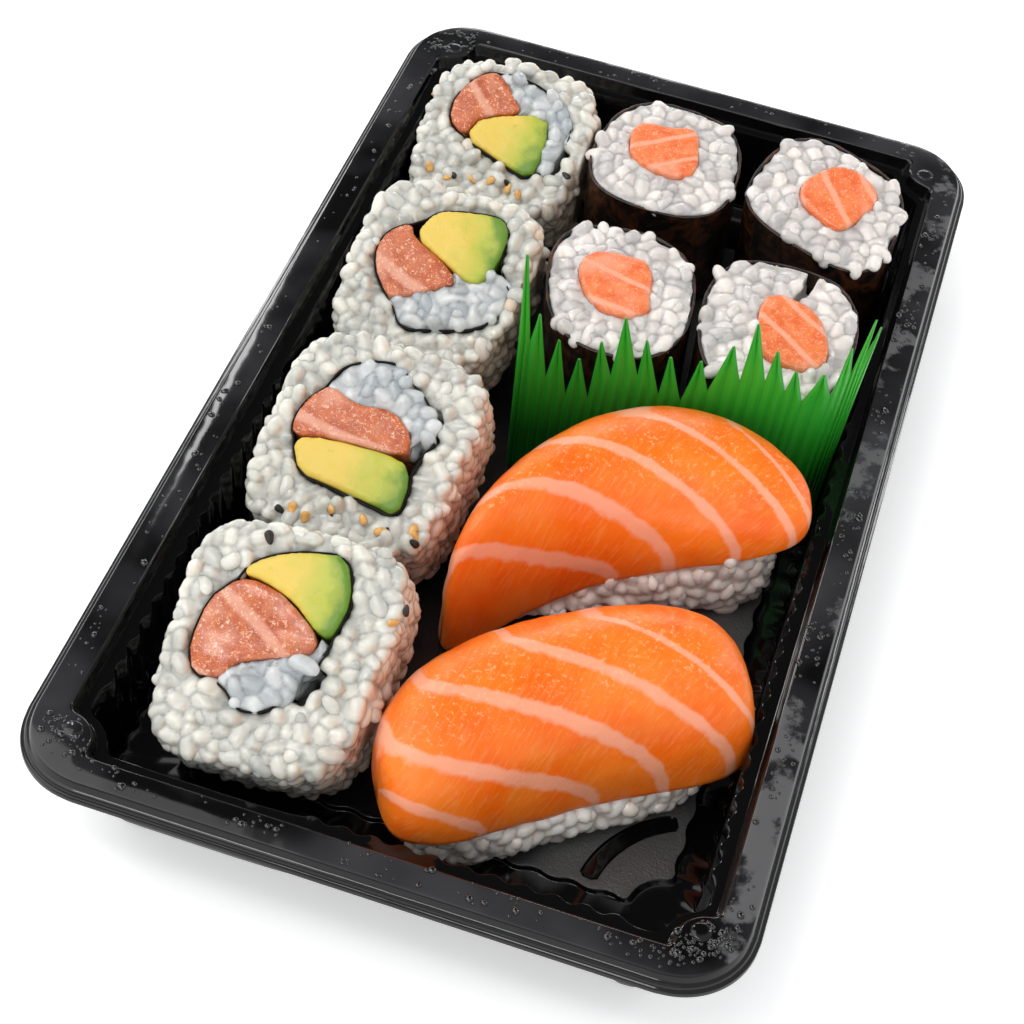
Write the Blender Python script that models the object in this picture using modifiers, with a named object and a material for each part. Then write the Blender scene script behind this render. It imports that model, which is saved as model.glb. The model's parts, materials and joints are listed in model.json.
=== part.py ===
"""Takeaway sushi tray: a black formed tray with four uramaki, four hosomaki,
two salmon nigiri and a strip of green plastic grass.

Sizes below are in millimetres; every mesh is written in metres, +Z up, with
+Y along the tray's long side and the tray's underside at z = 0.
"""
import math

import bmesh
import bpy
from mathutils import Matrix, Vector

MM = 0.001

# ---------------------------------------------------------------- tray sizes
TRAY_WIDTH = 118.7
TRAY_LENGTH = 205.0
RIM_HEIGHT = 22.0
SHEET = 0.6
RIM_CORNER = 13.0
# outer lip, from its lower edge up to the flat flange: (inset, height)
LIP_STEPS = ((0.0, 19.1), (0.35, 20.6), (1.4, 20.9), (2.1, 22.0))
RECESS_INSET = 6.9
LEDGE_HEIGHT = 19.5
FLOOR_HEIGHT = 0.6
PAD_HEIGHT = 1.3
# the corner lugs of the flange are round and bulge into the recess
LUG_CENTRE_X = 51.8
LUG_CENTRE_Y = 93.7
LUG_RADIUS = 5.2
# flutes of the wall: valley and tip distance from the middle, and their pitch
WALL_X = 50.4
WALL_Y = 93.0
FLUTE_DEPTH = 1.1
FLUTE_PITCH = 4.8
WALL_DRAFT = 0.9
FLUTES_RIGHT = (-82.0, 22.0)
FLUTES_LEFT = (-82.0, -5.0)
FLUTES_NEAR = (-13.0, 40.0)
# raised pad of the floor with its scalloped edge and curved grooves
PAD_X = 44.6
PAD_Y = 78.8
PAD_NOTCH = 6.5
SCALLOP_PITCH = 7.4
SCALLOP_DEPTH = 0.8
GROOVE_RADII = (18.2, 21.4)
GROOVE_CENTRE = (50.1, 79.0)
GROOVE_ANGLES = (187.5, 245.0)

# ---------------------------------------------------------------- food sizes
REST_HEIGHT = 1.6
GAP = 0.32
NORI = 0.5

# each uramaki: x, y, tilt, lean, spin, width, height, power, taper, skew, thickness
URAMAKI = {
    "uramaki_1": (-30.7, 62.3, 26.9, 1.3, 4.1, 34.0, 33.3, 3.8, 0.03, 0.07, 21.2),
    "uramaki_2": (-30.1, 19.5, 26.6, 2.4, 1.0, 33.6, 35.8, 4.0, 0.06, 0.08, 22.4),
    "uramaki_3": (-27.4, -25.0, 24.4, -0.9, -0.3, 36.0, 38.3, 4.2, 0.01, 0.06, 22.5),
    "uramaki_4": (-25.1, -72.5, 27.3, 0.7, 4.4, 35.4, 40.2, 4.2, 0.10, 0.07, 23.4),
}
HOSOMAKI = {
    "hosomaki_1": (1.6, 67.2, 7.8, 0.0, -1.5, 29.0, 28.4, 2.8, -0.17, -0.01, 27.0),
    "hosomaki_2": (33.9, 66.3, 12.0, 0.4, -19.1, 30.4, 25.7, 3.4, -0.20, -0.11, 27.0),
    "hosomaki_3": (3.1, 27.2, 8.2, 0.0, 3.8, 27.9, 30.0, 2.6, 0.14, -0.11, 27.0),
    "hosomaki_4": (32.7, 28.1, 8.2, 0.0, 0.9, 28.9, 32.0, 2.75, 0.12, -0.05, 27.0),
}
# where the seam of each nori sheet faces on the cut, in degrees
SEAM = {"uramaki_1": -30.0, "uramaki_2": -12.0, "uramaki_3": 20.0, "uramaki_4": -40.0}
NORI_SLACK = 0.1
# corners of each filling on the cut face, rounded off by round_corners()
FILLINGS = {
    "uramaki_1": {
        "avocado": ((-6.8, -1.6), (-4.7, 3.0), (7.7, 6.1), (8.7, -1.0), (7.3, -7.6), (0.8, -5.0)),
        "salmon": ((-7.6, -1.4), (-10.9, 1.6), (-10.9, 6.4), (-7.4, 11.5), (-3.9, 13.0),
                   (0.5, 8.3), (2.5, 5.5), (-5.4, 3.4)),
        "inner_rice": ((-2.9, 13.2), (2.9, 12.6), (9.4, 9.6), (12.9, 4.6), (12.0, -1.0),
                       (10.2, -5.6), (9.3, -5.0), (9.5, 1.2), (8.4, 6.9), (3.4, 6.2), (1.0, 8.8)),
    },
    "uramaki_2": {
        "avocado": ((-3.0, 11.0), (2.9, 12.4), (9.2, 12.9), (10.8, 10.1), (10.5, 4.5),
                    (9.0, -0.2), (6.2, -0.3), (1.5, 2.1), (-5.5, 5.6)),
        "salmon": ((-6.9, 7.6), (-10.3, 5.0), (-11.5, 1.7), (-10.6, -2.1), (-7.7, -5.9),
                   (-5.9, -7.3), (1.8, -3.0), (4.2, -1.1), (1.2, 1.6), (-5.9, 5.0)),
        "inner_rice": ((-5.6, -7.9), (-0.6, -4.9), (4.3, -1.9), (8.6, -1.0), (14.6, 0.9),
                       (14.0, -4.1), (10.9, -8.4), (4.3, -10.5), (-2.8, -12.2)),
    },
    "uramaki_3": {
        "avocado": ((-11.7, -3.4), (-5.8, -1.9), (7.3, -1.6), (9.5, -4.7), (9.6, -11.2),
                    (4.4, -10.2), (-3.1, -9.1), (-8.7, -8.6)),
        "salmon": ((-8.6, 7.5), (-3.8, 5.2), (3.0, 6.2), (7.4, 2.6), (7.5, -0.8),
                   (-5.8, -1.2), (-12.1, -2.6), (-12.7, 0.6), (-11.5, 4.2)),
        "inner_rice": ((-9.0, 8.7), (-7.7, 11.5), (-4.0, 13.8), (1.2, 14.7), (3.6, 12.3),
                       (7.6, 9.8), (11.4, 5.2), (10.9, 1.4), (8.4, 3.1), (3.6, 7.0),
                       (-3.8, 6.1)),
    },
    "uramaki_4": {
        "avocado": ((-8.0, 10.5), (-4.3, 13.6), (1.7, 15.6), (7.6, 16.2), (9.8, 9.6),
                    (8.6, 4.2), (7.0, 3.2), (0.8, 8.2), (-4.2, 10.0)),
        "salmon": ((-11.7, 4.9), (-8.0, 9.2), (-4.4, 9.3), (0.5, 7.5), (6.4, 2.7),
                   (5.7, -0.2), (-1.6, -2.1), (-5.5, -3.5), (-6.6, -6.2), (-11.3, -6.6),
                   (-12.8, -2.0)),
        "inner_rice": ((-6.2, -6.8), (-5.1, -4.1), (-1.4, -2.7), (4.4, -1.3), (8.4, 1.9),
                       (7.0, -1.8), (4.4, -6.6), (0.8, -10.2), (-3.5, -10.6)),
    },
}
HOSOMAKI_SALMON = {
    "hosomaki_1": ((-8.6, 2.4), (-7.4, 6.0), (-1.1, 6.2), (3.2, 8.6), (5.0, 3.2),
                   (6.4, -1.8), (4.6, -5.2), (-6.0, -4.4)),
    "hosomaki_2": ((-6.0, 0.3), (-3.2, 6.8), (0.4, 8.6), (5.8, 7.4), (8.1, 4.9),
                   (6.9, -1.3), (6.0, -6.0), (-0.7, -4.7), (-4.2, -3.5)),
    "hosomaki_3": ((-8.8, 2.8), (-7.0, 6.2), (-3.2, 7.4), (4.6, 6.6), (5.5, -1.5),
                   (6.3, -4.2), (2.4, -6.6), (-4.5, -5.2)),
    "hosomaki_4": ((-4.2, 8.0), (5.6, 5.8), (8.5, 1.2), (10.1, -3.5), (8.6, -7.6),
                   (0.5, -8.0), (-3.4, -3.2)),
}
RICE_CROWN = 1.2

# each nigiri: where it lies, how it turns, bends, widens and drapes
NIGIRI = {
    "nigiri_far": {
        "x": 12.15, "y": -10.8, "turn": 33.6, "half_length": 32.3,
        "bow": (0.84, -13.6), "half_width": 14.6, "widening": 0.55, "plan_power": 2.14,
        "crest": (30.3, -0.6, 0.6), "hem": (11.4, 11.8, 0.2), "arch_power": 2.22,
        "rice_from": -0.76, "rice_to": 0.90,
    },
    "nigiri_near": {
        "x": 17.5, "y": -57.8, "turn": 31.2, "half_length": 31.4,
        "bow": (4.1, -7.0), "half_width": 15.7, "widening": 0.02, "plan_power": 3.1,
        "crest": (31.3, -1.1, 1.1), "hem": (11.0, -1.4, 4.2), "arch_power": 2.36,
        "rice_from": -0.84, "rice_to": 0.86,
    },
}
SALMON_THICKNESS = 5.4
SALMON_EDGE = 2.2
SLICE_END = 2.6
RICE_FOOT = 1.1
RICE_TUCK = 1.8

# green plastic grass: its base line on the floor, how it leans, and its blades
GRASS_LINE = ((-8.8, 3.4), (0.0, 5.8), (12.0, 7.9), (30.0, 8.1), (43.0, 8.0), (48.0, 13.0))
GRASS_LEAN = (0.14, 0.12)
GRASS_FAN = 0.05
GRASS_SHEET = 0.4
# each blade: where along the strip its tip is, tip height, and the cut to its right
GRASS_BLADES = (
    (0.000, 48.0, 0.030, 30.0), (0.049, 36.0, 0.085, 22.5), (0.109, 31.0, 0.149, 19.0),
    (0.173, 27.5, 0.216, 19.0), (0.227, 32.0, 0.271, 25.0), (0.284, 38.0, 0.349, 26.0),
    (0.357, 34.0, 0.423, 23.0), (0.436, 32.0, 0.492, 23.0), (0.527, 33.0, 0.565, 27.0),
    (0.610, 38.0, 0.651, 31.0), (0.664, 44.0, 0.722, 32.5), (0.736, 39.5, 0.784, 31.5),
    (0.800, 36.5, 0.837, 30.5), (0.875, 37.5, 0.916, 32.0), (0.936, 42.5, 0.960, 36.0),
    (0.981, 48.0, 0.985, 40.0), (1.004, 46.0, 1.000, 24.0),
)

COLOURS = {
    "black_plastic": (0.012, 0.012, 0.013, 1.0),
    "green_plastic": (0.02, 0.30, 0.03, 1.0),
    "rice": (0.80, 0.79, 0.74, 1.0),
    "nori": (0.012, 0.010, 0.008, 1.0),
    "salmon": (0.90, 0.24, 0.07, 1.0),
    "avocado": (0.62, 0.62, 0.16, 1.0),
}


# ------------------------------------------------------------------- helpers
def clear_scene():
    """Remove whatever the start-up file brought along."""
    for item in list(bpy.data.objects):
        bpy.data.objects.remove(item, do_unlink=True)


def new_collection(name):
    """Make a collection under the scene's own."""
    group = bpy.data.collections.new(name)
    bpy.context.scene.collection.children.link(group)
    return group


def plain_material(name, roughness):
    """Make one Principled material with the colour of its family."""
    family = name.split(":")[0]
    made = bpy.data.materials.new(name.replace(":", "_"))
    made.use_nodes = True
    shader = made.node_tree.nodes["Principled BSDF"]
    shader.inputs["Base Color"].default_value = COLOURS[family]
    shader.inputs["Roughness"].default_value = roughness
    return made


def publish(bm, name, group, family, roughness=0.5):
    """Write a bmesh in millimetres as a named object in metres."""
    bmesh.ops.scale(bm, vec=Vector((MM, MM, MM)), verts=bm.verts)
    bmesh.ops.recalc_face_normals(bm, faces=bm.faces)
    mesh = bpy.data.meshes.new(name)
    bm.to_mesh(mesh)
    bm.free()
    item = bpy.data.objects.new(name, mesh)
    group.objects.link(item)
    item.data.materials.append(plain_material(family + ":" + name, roughness))
    return item


def ring_of(bm, points):
    """Add the points of one ring as vertices."""
    return [bm.verts.new(point) for point in points]


def skin(bm, first, second):
    """Join two rings of equal count with a closed band of quads."""
    count = len(first)
    for i in range(count):
        j = (i + 1) % count
        bm.faces.new((first[i], first[j], second[j], second[i]))


def loop_edges(bm, ring):
    """Edges along a closed ring, made where they are missing."""
    edges = []
    for i, start in enumerate(ring):
        end = ring[(i + 1) % len(ring)]
        edge = bm.edges.get((start, end))
        if edge is None:
            edge = bm.edges.new((start, end))
        edges.append(edge)
    return edges


def fill_between(bm, rings):
    """Fill the flat region bounded by rings, the first one being outermost."""
    edges = []
    for ring in rings:
        edges.extend(loop_edges(bm, ring))
    bmesh.ops.triangle_fill(bm, use_beauty=True, edges=edges, normal=(0.0, 0.0, 1.0))


def superellipse(width, height, power, count, phase=0.0):
    """Closed squarish oval, counted anticlockwise."""
    outline = []
    for i in range(count):
        angle = phase + 2.0 * math.pi * i / count
        c = math.cos(angle)
        s = math.sin(angle)
        outline.append((math.copysign(abs(c) ** (2.0 / power), c) * width / 2.0,
                        math.copysign(abs(s) ** (2.0 / power), s) * height / 2.0))
    return outline


def round_corners(corners, cut=0.22):
    """Cut every corner once, so that a polygon reads as a soft outline."""
    softened = []
    count = len(corners)
    for i in range(count):
        ax, ay = corners[i]
        bx, by = corners[(i + 1) % count]
        softened.append((ax + (bx - ax) * cut, ay + (by - ay) * cut))
        softened.append((bx + (ax - bx) * cut, by + (ay - by) * cut))
    return softened


def anticlockwise(outline):
    """The outline in anticlockwise order."""
    area = 0.0
    for i, (ax, ay) in enumerate(outline):
        bx, by = outline[(i + 1) % len(outline)]
        area += ax * by - bx * ay
    return list(outline) if area > 0.0 else list(reversed(outline))


def centre_of(outline):
    """Mean of the outline's points."""
    count = len(outline)
    return (sum(p[0] for p in outline) / count, sum(p[1] for p in outline) / count)


def reach_at(shape, centre, angle):
    """Farthest distance from the centre to a closed outline at an angle."""
    dx = math.cos(angle)
    dy = math.sin(angle)
    reach = 0.0
    for k, (ax, ay) in enumerate(shape):
        bx, by = shape[(k + 1) % len(shape)]
        ex = bx - ax
        ey = by - ay
        cross = dx * ey - dy * ex
        if abs(cross) < 1e-9:
            continue
        far = ((ax - centre[0]) * ey - (ay - centre[1]) * ex) / cross
        along = ((ax - centre[0]) * dy - (ay - centre[1]) * dx) / cross
        if -1e-6 <= along <= 1.0 + 1e-6:
            reach = max(reach, far)
    return reach


def polar_ring(centre, reaches, phase=0.0):
    """Closed outline from distances at equal angles about a centre."""
    outline = []
    for i, reach in enumerate(reaches):
        angle = phase + 2.0 * math.pi * i / len(reaches)
        outline.append((centre[0] + reach * math.cos(angle), centre[1] + reach * math.sin(angle)))
    return outline


def radial_outline(corners, count):
    """Resample a rounded polygon at equal angles about its centre."""
    centre = centre_of(corners)
    shape = round_corners(anticlockwise(corners))
    reaches = [reach_at(shape, centre, 2.0 * math.pi * i / count) for i in range(count)]
    return polar_ring(centre, reaches), centre


def wrap_around(shapes, centre, count, phase):
    """Distances of a sheet that wraps all the shapes and bridges their hollows."""
    step = 2.0 * math.pi / count
    reaches = []
    for i in range(count):
        fan = [phase + (i + k / 5.0) * step for k in range(-4, 5)]
        reaches.append(max(reach_at(shape, centre, angle) for shape in shapes for angle in fan))
    for _ in range(2):
        eased = []
        for i, reach in enumerate(reaches):
            bridge = (reaches[i - 1] + reaches[(i + 1) % count]) / 2.0
            eased.append(max(reach, bridge * 0.985))
        reaches = eased
    return reaches


def grow(outline, centre, amount):
    """Move every point outward from the centre by an amount."""
    grown = []
    for x, y in outline:
        reach = math.hypot(x - centre[0], y - centre[1])
        factor = (reach + amount) / reach
        grown.append((centre[0] + (x - centre[0]) * factor,
                      centre[1] + (y - centre[1]) * factor))
    return grown


# ---------------------------------------------------------------------- tray
def rim_corner(half_x, half_y, radius):
    """Nine points of the first-quadrant corner of a rounded rectangle."""
    points = [(half_x, half_y - radius - 1.0)]
    for i in range(7):
        angle = math.radians(90.0 * i / 6.0)
        points.append((half_x - radius + radius * math.cos(angle),
                       half_y - radius + radius * math.sin(angle)))
    points.append((half_x - radius - 1.0, half_y))
    return points


def lug_corner(half_x, half_y, radius):
    """Nine points of the recess corner, where the flange's lug bulges in."""
    start = -math.acos((half_x - LUG_CENTRE_X) / radius)
    end = -math.pi - math.asin((half_y - LUG_CENTRE_Y) / radius)
    y_hit = LUG_CENTRE_Y + radius * math.sin(start)
    x_hit = LUG_CENTRE_X + radius * math.cos(end)
    points = [(half_x, y_hit - 1.9), (half_x - 0.2, y_hit - 0.8)]
    first = start - math.radians(9.0)
    last = end + math.radians(9.0)
    for i in range(5):
        angle = first + (last - first) * i / 4.0
        points.append((LUG_CENTRE_X + radius * math.cos(angle),
                       LUG_CENTRE_Y + radius * math.sin(angle)))
    points.append((x_hit - 0.8, half_y - 0.2))
    points.append((x_hit - 1.9, half_y))
    return points


def mirrored(points, flip_x, flip_y):
    """A first-quadrant corner mirrored into another quadrant, kept in order."""
    made = [(x * flip_x, y * flip_y) for x, y in points]
    if flip_x * flip_y < 0:
        made.reverse()
    return made


def edge_steps(start, end, flutes, axis, inward):
    """Points between two corners: two plain ones, or the zigzag of the flutes."""
    if flutes is None:
        return [tuple(a + (b - a) * t for a, b in zip(start, end)) for t in (1 / 3, 2 / 3)]
    low, high = flutes
    count = max(2, round((high - low) / FLUTE_PITCH))
    steps = []
    for i in range(2 * count + 1):
        along = low + (high - low) * i / (2 * count)
        depth = inward if i % 2 else 0.0
        point = [start[0], start[1]]
        point[axis] = along
        point[1 - axis] = start[1 - axis] - math.copysign(depth, start[1 - axis])
        steps.append(tuple(point))
    if end[axis] < start[axis]:
        steps.reverse()
    return steps


def tray_outline(corner, half_x, half_y, radius, inward=None):
    """Full outline: four corners with the edge points between them."""
    quadrant = corner(half_x, half_y, radius)
    corners = [mirrored(quadrant, fx, fy) for fx, fy in ((1, 1), (-1, 1), (-1, -1), (1, -1))]
    flutes = (None, None, None, None)
    if inward is not None:
        flutes = (None, FLUTES_LEFT, FLUTES_NEAR, FLUTES_RIGHT)
    outline = []
    for i, points in enumerate(corners):
        following = corners[(i + 1) % 4]
        outline.extend(points)
        axis = 0 if i % 2 == 0 else 1
        outline.extend(edge_steps(points[-1], following[0], flutes[i], axis, inward))
    return outline


def pad_outline(inset):
    """Outline of the floor's raised pad: hollow corners, two scalloped sides."""
    half_x = PAD_X - inset
    half_y = PAD_Y - inset
    notch = PAD_NOTCH + inset * 0.4
    corner = []
    for i in range(4):
        angle = math.radians(-90.0 - 90.0 * i / 3.0)
        corner.append((half_x + notch * math.cos(angle), half_y + notch * math.sin(angle)))
    outline = []
    signs = ((1, 1), (-1, 1), (-1, -1), (1, -1))
    corners = [mirrored(corner, fx, fy) for fx, fy in signs]
    for i, points in enumerate(corners):
        following = corners[(i + 1) % 4]
        outline.extend(points)
        start = points[-1]
        end = following[0]
        axis = 0 if i % 2 == 0 else 1
        if i < 2:
            outline.extend(edge_steps(start, end, None, axis, None))
            continue
        count = round(2.0 * (PAD_X, PAD_Y)[axis] / SCALLOP_PITCH)
        for k in range(1, 2 * count):
            t = k / (2 * count)
            point = [start[0] + (end[0] - start[0]) * t, start[1] + (end[1] - start[1]) * t]
            if k % 2:
                side = 1 - axis
                point[side] -= math.copysign(SCALLOP_DEPTH, point[side])
            outline.append(tuple(point))
    return outline


def groove_outline(flip_x, flip_y, inset):
    """Closed outline of one curved groove pressed into the pad."""
    inner = GROOVE_RADII[0] + inset
    outer = GROOVE_RADII[1] - inset
    edge = math.degrees(inset / GROOVE_RADII[0])
    low = GROOVE_ANGLES[0] + edge
    high = GROOVE_ANGLES[1] - edge
    points = []
    for radius, order in ((outer, range(5)), (inner, range(4, -1, -1))):
        for i in order:
            angle = math.radians(low + (high - low) * i / 4.0)
            points.append((GROOVE_CENTRE[0] + radius * math.cos(angle),
                           GROOVE_CENTRE[1] + radius * math.sin(angle)))
    return mirrored(points, flip_x, flip_y)


def at_height(points, height):
    """Flat points lifted to one height."""
    return [(x, y, height) for x, y in points]


def build_tray(group):
    """The formed sheet: lip, flange with lugs, ledge, fluted wall and floor."""
    bm = bmesh.new()
    half_x = TRAY_WIDTH / 2.0
    half_y = TRAY_LENGTH / 2.0
    previous = None
    for inset, height in LIP_STEPS:
        flat = tray_outline(rim_corner, half_x - inset, half_y - inset, RIM_CORNER - inset)
        ring = ring_of(bm, at_height(flat, height))
        if previous is not None:
            skin(bm, previous, ring)
        previous = ring
    for inset, height in ((0.0, RIM_HEIGHT), (0.6, LEDGE_HEIGHT)):
        reach = RECESS_INSET + inset
        flat = tray_outline(lug_corner, half_x - reach, half_y - reach, LUG_RADIUS + inset)
        ring = ring_of(bm, at_height(flat, height))
        skin(bm, previous, ring)
        previous = ring
    wall = []
    for inset, height in ((0.0, LEDGE_HEIGHT), (WALL_DRAFT, FLOOR_HEIGHT)):
        radius = LUG_RADIUS + 2.0 + inset
        flat = tray_outline(lug_corner, WALL_X - inset, WALL_Y - inset, radius, FLUTE_DEPTH)
        wall.append(ring_of(bm, at_height(flat, height)))
    fill_between(bm, (previous, wall[0]))
    skin(bm, wall[0], wall[1])
    pad_foot = ring_of(bm, at_height(pad_outline(0.0), FLOOR_HEIGHT))
    pad_top = ring_of(bm, at_height(pad_outline(0.5), PAD_HEIGHT))
    fill_between(bm, (wall[1], pad_foot))
    skin(bm, pad_foot, pad_top)
    grooves = []
    for flip_x, flip_y in ((1, 1), (-1, 1), (-1, -1), (1, -1)):
        top = ring_of(bm, at_height(groove_outline(flip_x, flip_y, 0.0), PAD_HEIGHT))
        low = ring_of(bm, at_height(groove_outline(flip_x, flip_y, 0.4), FLOOR_HEIGHT + 0.1))
        skin(bm, top, low)
        bm.faces.new(low)
        grooves.append(top)
    fill_between(bm, [pad_top] + grooves)
    bmesh.ops.recalc_face_normals(bm, faces=bm.faces)
    tray = publish(bm, "tray", group, "black_plastic", 0.2)
    if tray.data.polygons[0].normal.z < 0.0:
        tray.data.flip_normals()
    wall_sheet = tray.modifiers.new("sheet", "SOLIDIFY")
    wall_sheet.thickness = SHEET * MM
    wall_sheet.offset = -1.0
    wall_sheet.use_even_offset = False
    return tray


# --------------------------------------------------------------------- rolls
def roll_frame(sizes, foot):
    """Placement of a roll's cut face: x right, y up the face, z out of it.

    The roll stands on the lowest point of its foot outline.
    """
    x, y, tilt, lean, spin = sizes[:5]
    thickness = sizes[-1]
    a = math.radians(tilt)
    b = math.radians(lean)
    out = Vector((math.sin(a) * math.sin(b), -math.sin(a) * math.cos(b), math.cos(a)))
    right = Vector((1.0, 0.0, 0.0)) - out * out.x
    right.normalize()
    up = out.cross(right)
    c = math.cos(math.radians(spin))
    s = math.sin(math.radians(spin))
    turned = (right * c + up * s, up * c - right * s, out)
    drop = max(-px * turned[0].z - py * turned[1].z for px, py in foot)
    z = thickness * out.z + drop + REST_HEIGHT
    frame = Matrix.Identity(4)
    for column, axis in enumerate(turned):
        for row in range(3):
            frame[row][column] = axis[row]
    frame[0][3] = x
    frame[1][3] = y
    frame[2][3] = z
    return frame


def face_outline(sizes, count, phase=0.0):
    """Outer outline of a roll, with its taper and skew."""
    _, _, _, _, _, width, height, power, taper, skew, _ = sizes
    outline = []
    for x, y in superellipse(width, height, power, count, phase):
        outline.append((x * (1.0 + taper * y / height) + skew * y, y))
    return outline


def scaled(outline, factor):
    """The outline scaled about the face's middle."""
    return [(x * factor, y * factor) for x, y in outline]


def build_ringed(name, group, family, frame, sections):
    """Loft closed rings into a tube-like solid: last ring joins the first."""
    bm = bmesh.new()
    rings = [ring_of(bm, at_height(flat, depth)) for flat, depth in sections]
    for i, ring in enumerate(rings):
        skin(bm, ring, rings[(i + 1) % len(rings)])
    bmesh.ops.transform(bm, matrix=frame, verts=bm.verts)
    return publish(bm, name, group, family)


def build_plug(name, group, family, frame, outline, top, bottom):
    """A filling that runs through the roll from cut to cut."""
    bm = bmesh.new()
    face = bm.faces.new(ring_of(bm, at_height(outline, bottom)))
    raised = bmesh.ops.extrude_face_region(bm, geom=[face])
    lifted = [item for item in raised["geom"] if isinstance(item, bmesh.types.BMVert)]
    bmesh.ops.translate(bm, vec=Vector((0.0, 0.0, top - bottom)), verts=lifted)
    bmesh.ops.triangulate(bm, faces=[item for item in bm.faces if len(item.verts) > 4])
    bmesh.ops.transform(bm, matrix=frame, verts=bm.verts)
    return publish(bm, name, group, family)


def build_nori_sheet(name, group, frame, outer, inner, thickness):
    """The rolled nori round the filling: an open loop with a seam."""
    bm = bmesh.new()
    stations = []
    high = -0.35
    low = 0.35 - thickness
    for (ox, oy), (ix, iy) in list(zip(outer, inner))[1:]:
        stations.append(ring_of(bm, ((ox, oy, high), (ix, iy, high),
                                     (ix, iy, low), (ox, oy, low))))
    for one, two in zip(stations, stations[1:]):
        skin(bm, one, two)
    bm.faces.new(stations[0])
    bm.faces.new(stations[-1])
    bmesh.ops.transform(bm, matrix=frame, verts=bm.verts)
    return publish(bm, name + "_nori", group, "nori")


def build_uramaki(name, group):
    """Rice outside, a nori loop in it, and three fillings that run through."""
    sizes = URAMAKI[name]
    thickness = sizes[-1]
    count = 22
    phase = math.radians(SEAM[name])
    shapes = {}
    for filling, corners in FILLINGS[name].items():
        shapes[filling] = round_corners(anticlockwise(corners))
    centre = centre_of([point for shape in shapes.values() for point in shape])
    wrap = wrap_around(shapes.values(), centre, count, phase)
    inner = polar_ring(centre, [reach + NORI_SLACK + GAP for reach in wrap], phase)
    sheet = grow(inner, centre, NORI)
    hole = grow(sheet, centre, GAP + 0.06)
    outer = face_outline(sizes, count, phase)
    foot = scaled(outer, 0.94)
    frame = roll_frame(sizes, foot)
    sections = (
        (hole, -thickness),
        (foot, -thickness),
        (outer, -thickness + 2.0),
        (outer, -2.0),
        (scaled(outer, 0.965), -0.5),
        (scaled(outer, 0.91), 0.0),
        (hole, 0.0),
    )
    build_ringed(name + "_outer_rice", group, "rice", frame, sections)
    build_nori_sheet(name, group, frame, sheet, inner, thickness)
    for filling, shape in shapes.items():
        family = "rice" if filling == "inner_rice" else filling
        build_plug(name + "_" + filling, group, family, frame, shape, 0.3, 0.3 - thickness)


def build_hosomaki(name, group):
    """A nori tube, rice that swells over its rim, and a salmon core."""
    sizes = HOSOMAKI[name]
    thickness = sizes[-1]
    count = 24
    core, centre = radial_outline(HOSOMAKI_SALMON[name], count)
    hole = grow(core, centre, GAP + 0.05)
    full = face_outline(sizes, 96)
    outer = []
    for i in range(count):
        angle = 2.0 * math.pi * i / count
        best = max(full, key=lambda p: math.cos(
            math.atan2(p[1] - centre[1], p[0] - centre[0]) - angle))
        outer.append(best)
    frame = roll_frame(sizes, outer)
    within = grow(outer, centre, -(NORI + GAP + 0.02))
    lining = grow(outer, centre, -NORI)
    nori = (
        (outer, -thickness),
        (outer, -RICE_CROWN),
        (lining, -RICE_CROWN),
        (lining, -thickness),
    )
    build_ringed(name + "_nori", group, "nori", frame, nori)
    rice = (
        (hole, 0.2 - thickness),
        (within, 0.2 - thickness),
        (within, GAP - RICE_CROWN),
        (grow(outer, centre, -0.05), GAP - RICE_CROWN),
        (grow(outer, centre, -0.9), -0.15),
        (hole, 0.0),
    )
    build_ringed(name + "_rice", group, "rice", frame, rice)
    build_plug(name + "_salmon", group, "salmon", frame, core, 0.3, 0.3 - thickness)


# -------------------------------------------------------------------- nigiri
def nigiri_section(spec, along):
    """Middle line, half width, hem height and crest height at a station."""
    linear, bend = spec["bow"]
    plan = spec["plan_power"]
    half = (1.0 - abs(along) ** plan) ** (1.0 / plan)
    half = max(half * spec["half_width"] * (1.0 + spec["widening"] * along), 0.3)
    middle = linear * along + bend * along * along
    top, slope, fall = spec["crest"]
    crest = top + slope * along + fall * along * along
    low, rise, lift = spec["hem"]
    hem = max(low + rise * along + lift * along * along, REST_HEIGHT + 0.4)
    dome = (1.0 - abs(along) ** 5) ** 0.2
    crest = hem + (crest - hem) * dome
    return middle, half, hem, crest


def slice_hollow(half, hem, crest):
    """Half width and rise of the slice's underside at a station."""
    inner_half = max(half - SALMON_EDGE, half * 0.45)
    inner_rise = max(crest - hem - SALMON_THICKNESS, (crest - hem) * 0.3)
    return inner_half, inner_rise


def arch(share, power):
    """Height of the arched section at a share of its half width."""
    return (1.0 - min(abs(share), 1.0) ** power) ** (1.0 / power)


def nigiri_place(spec, x, y, z):
    """From the nigiri's own axes to the tray's."""
    a = math.radians(spec["turn"])
    return (spec["x"] + x * math.cos(a) - y * math.sin(a),
            spec["y"] + x * math.sin(a) + y * math.cos(a), z)


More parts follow.
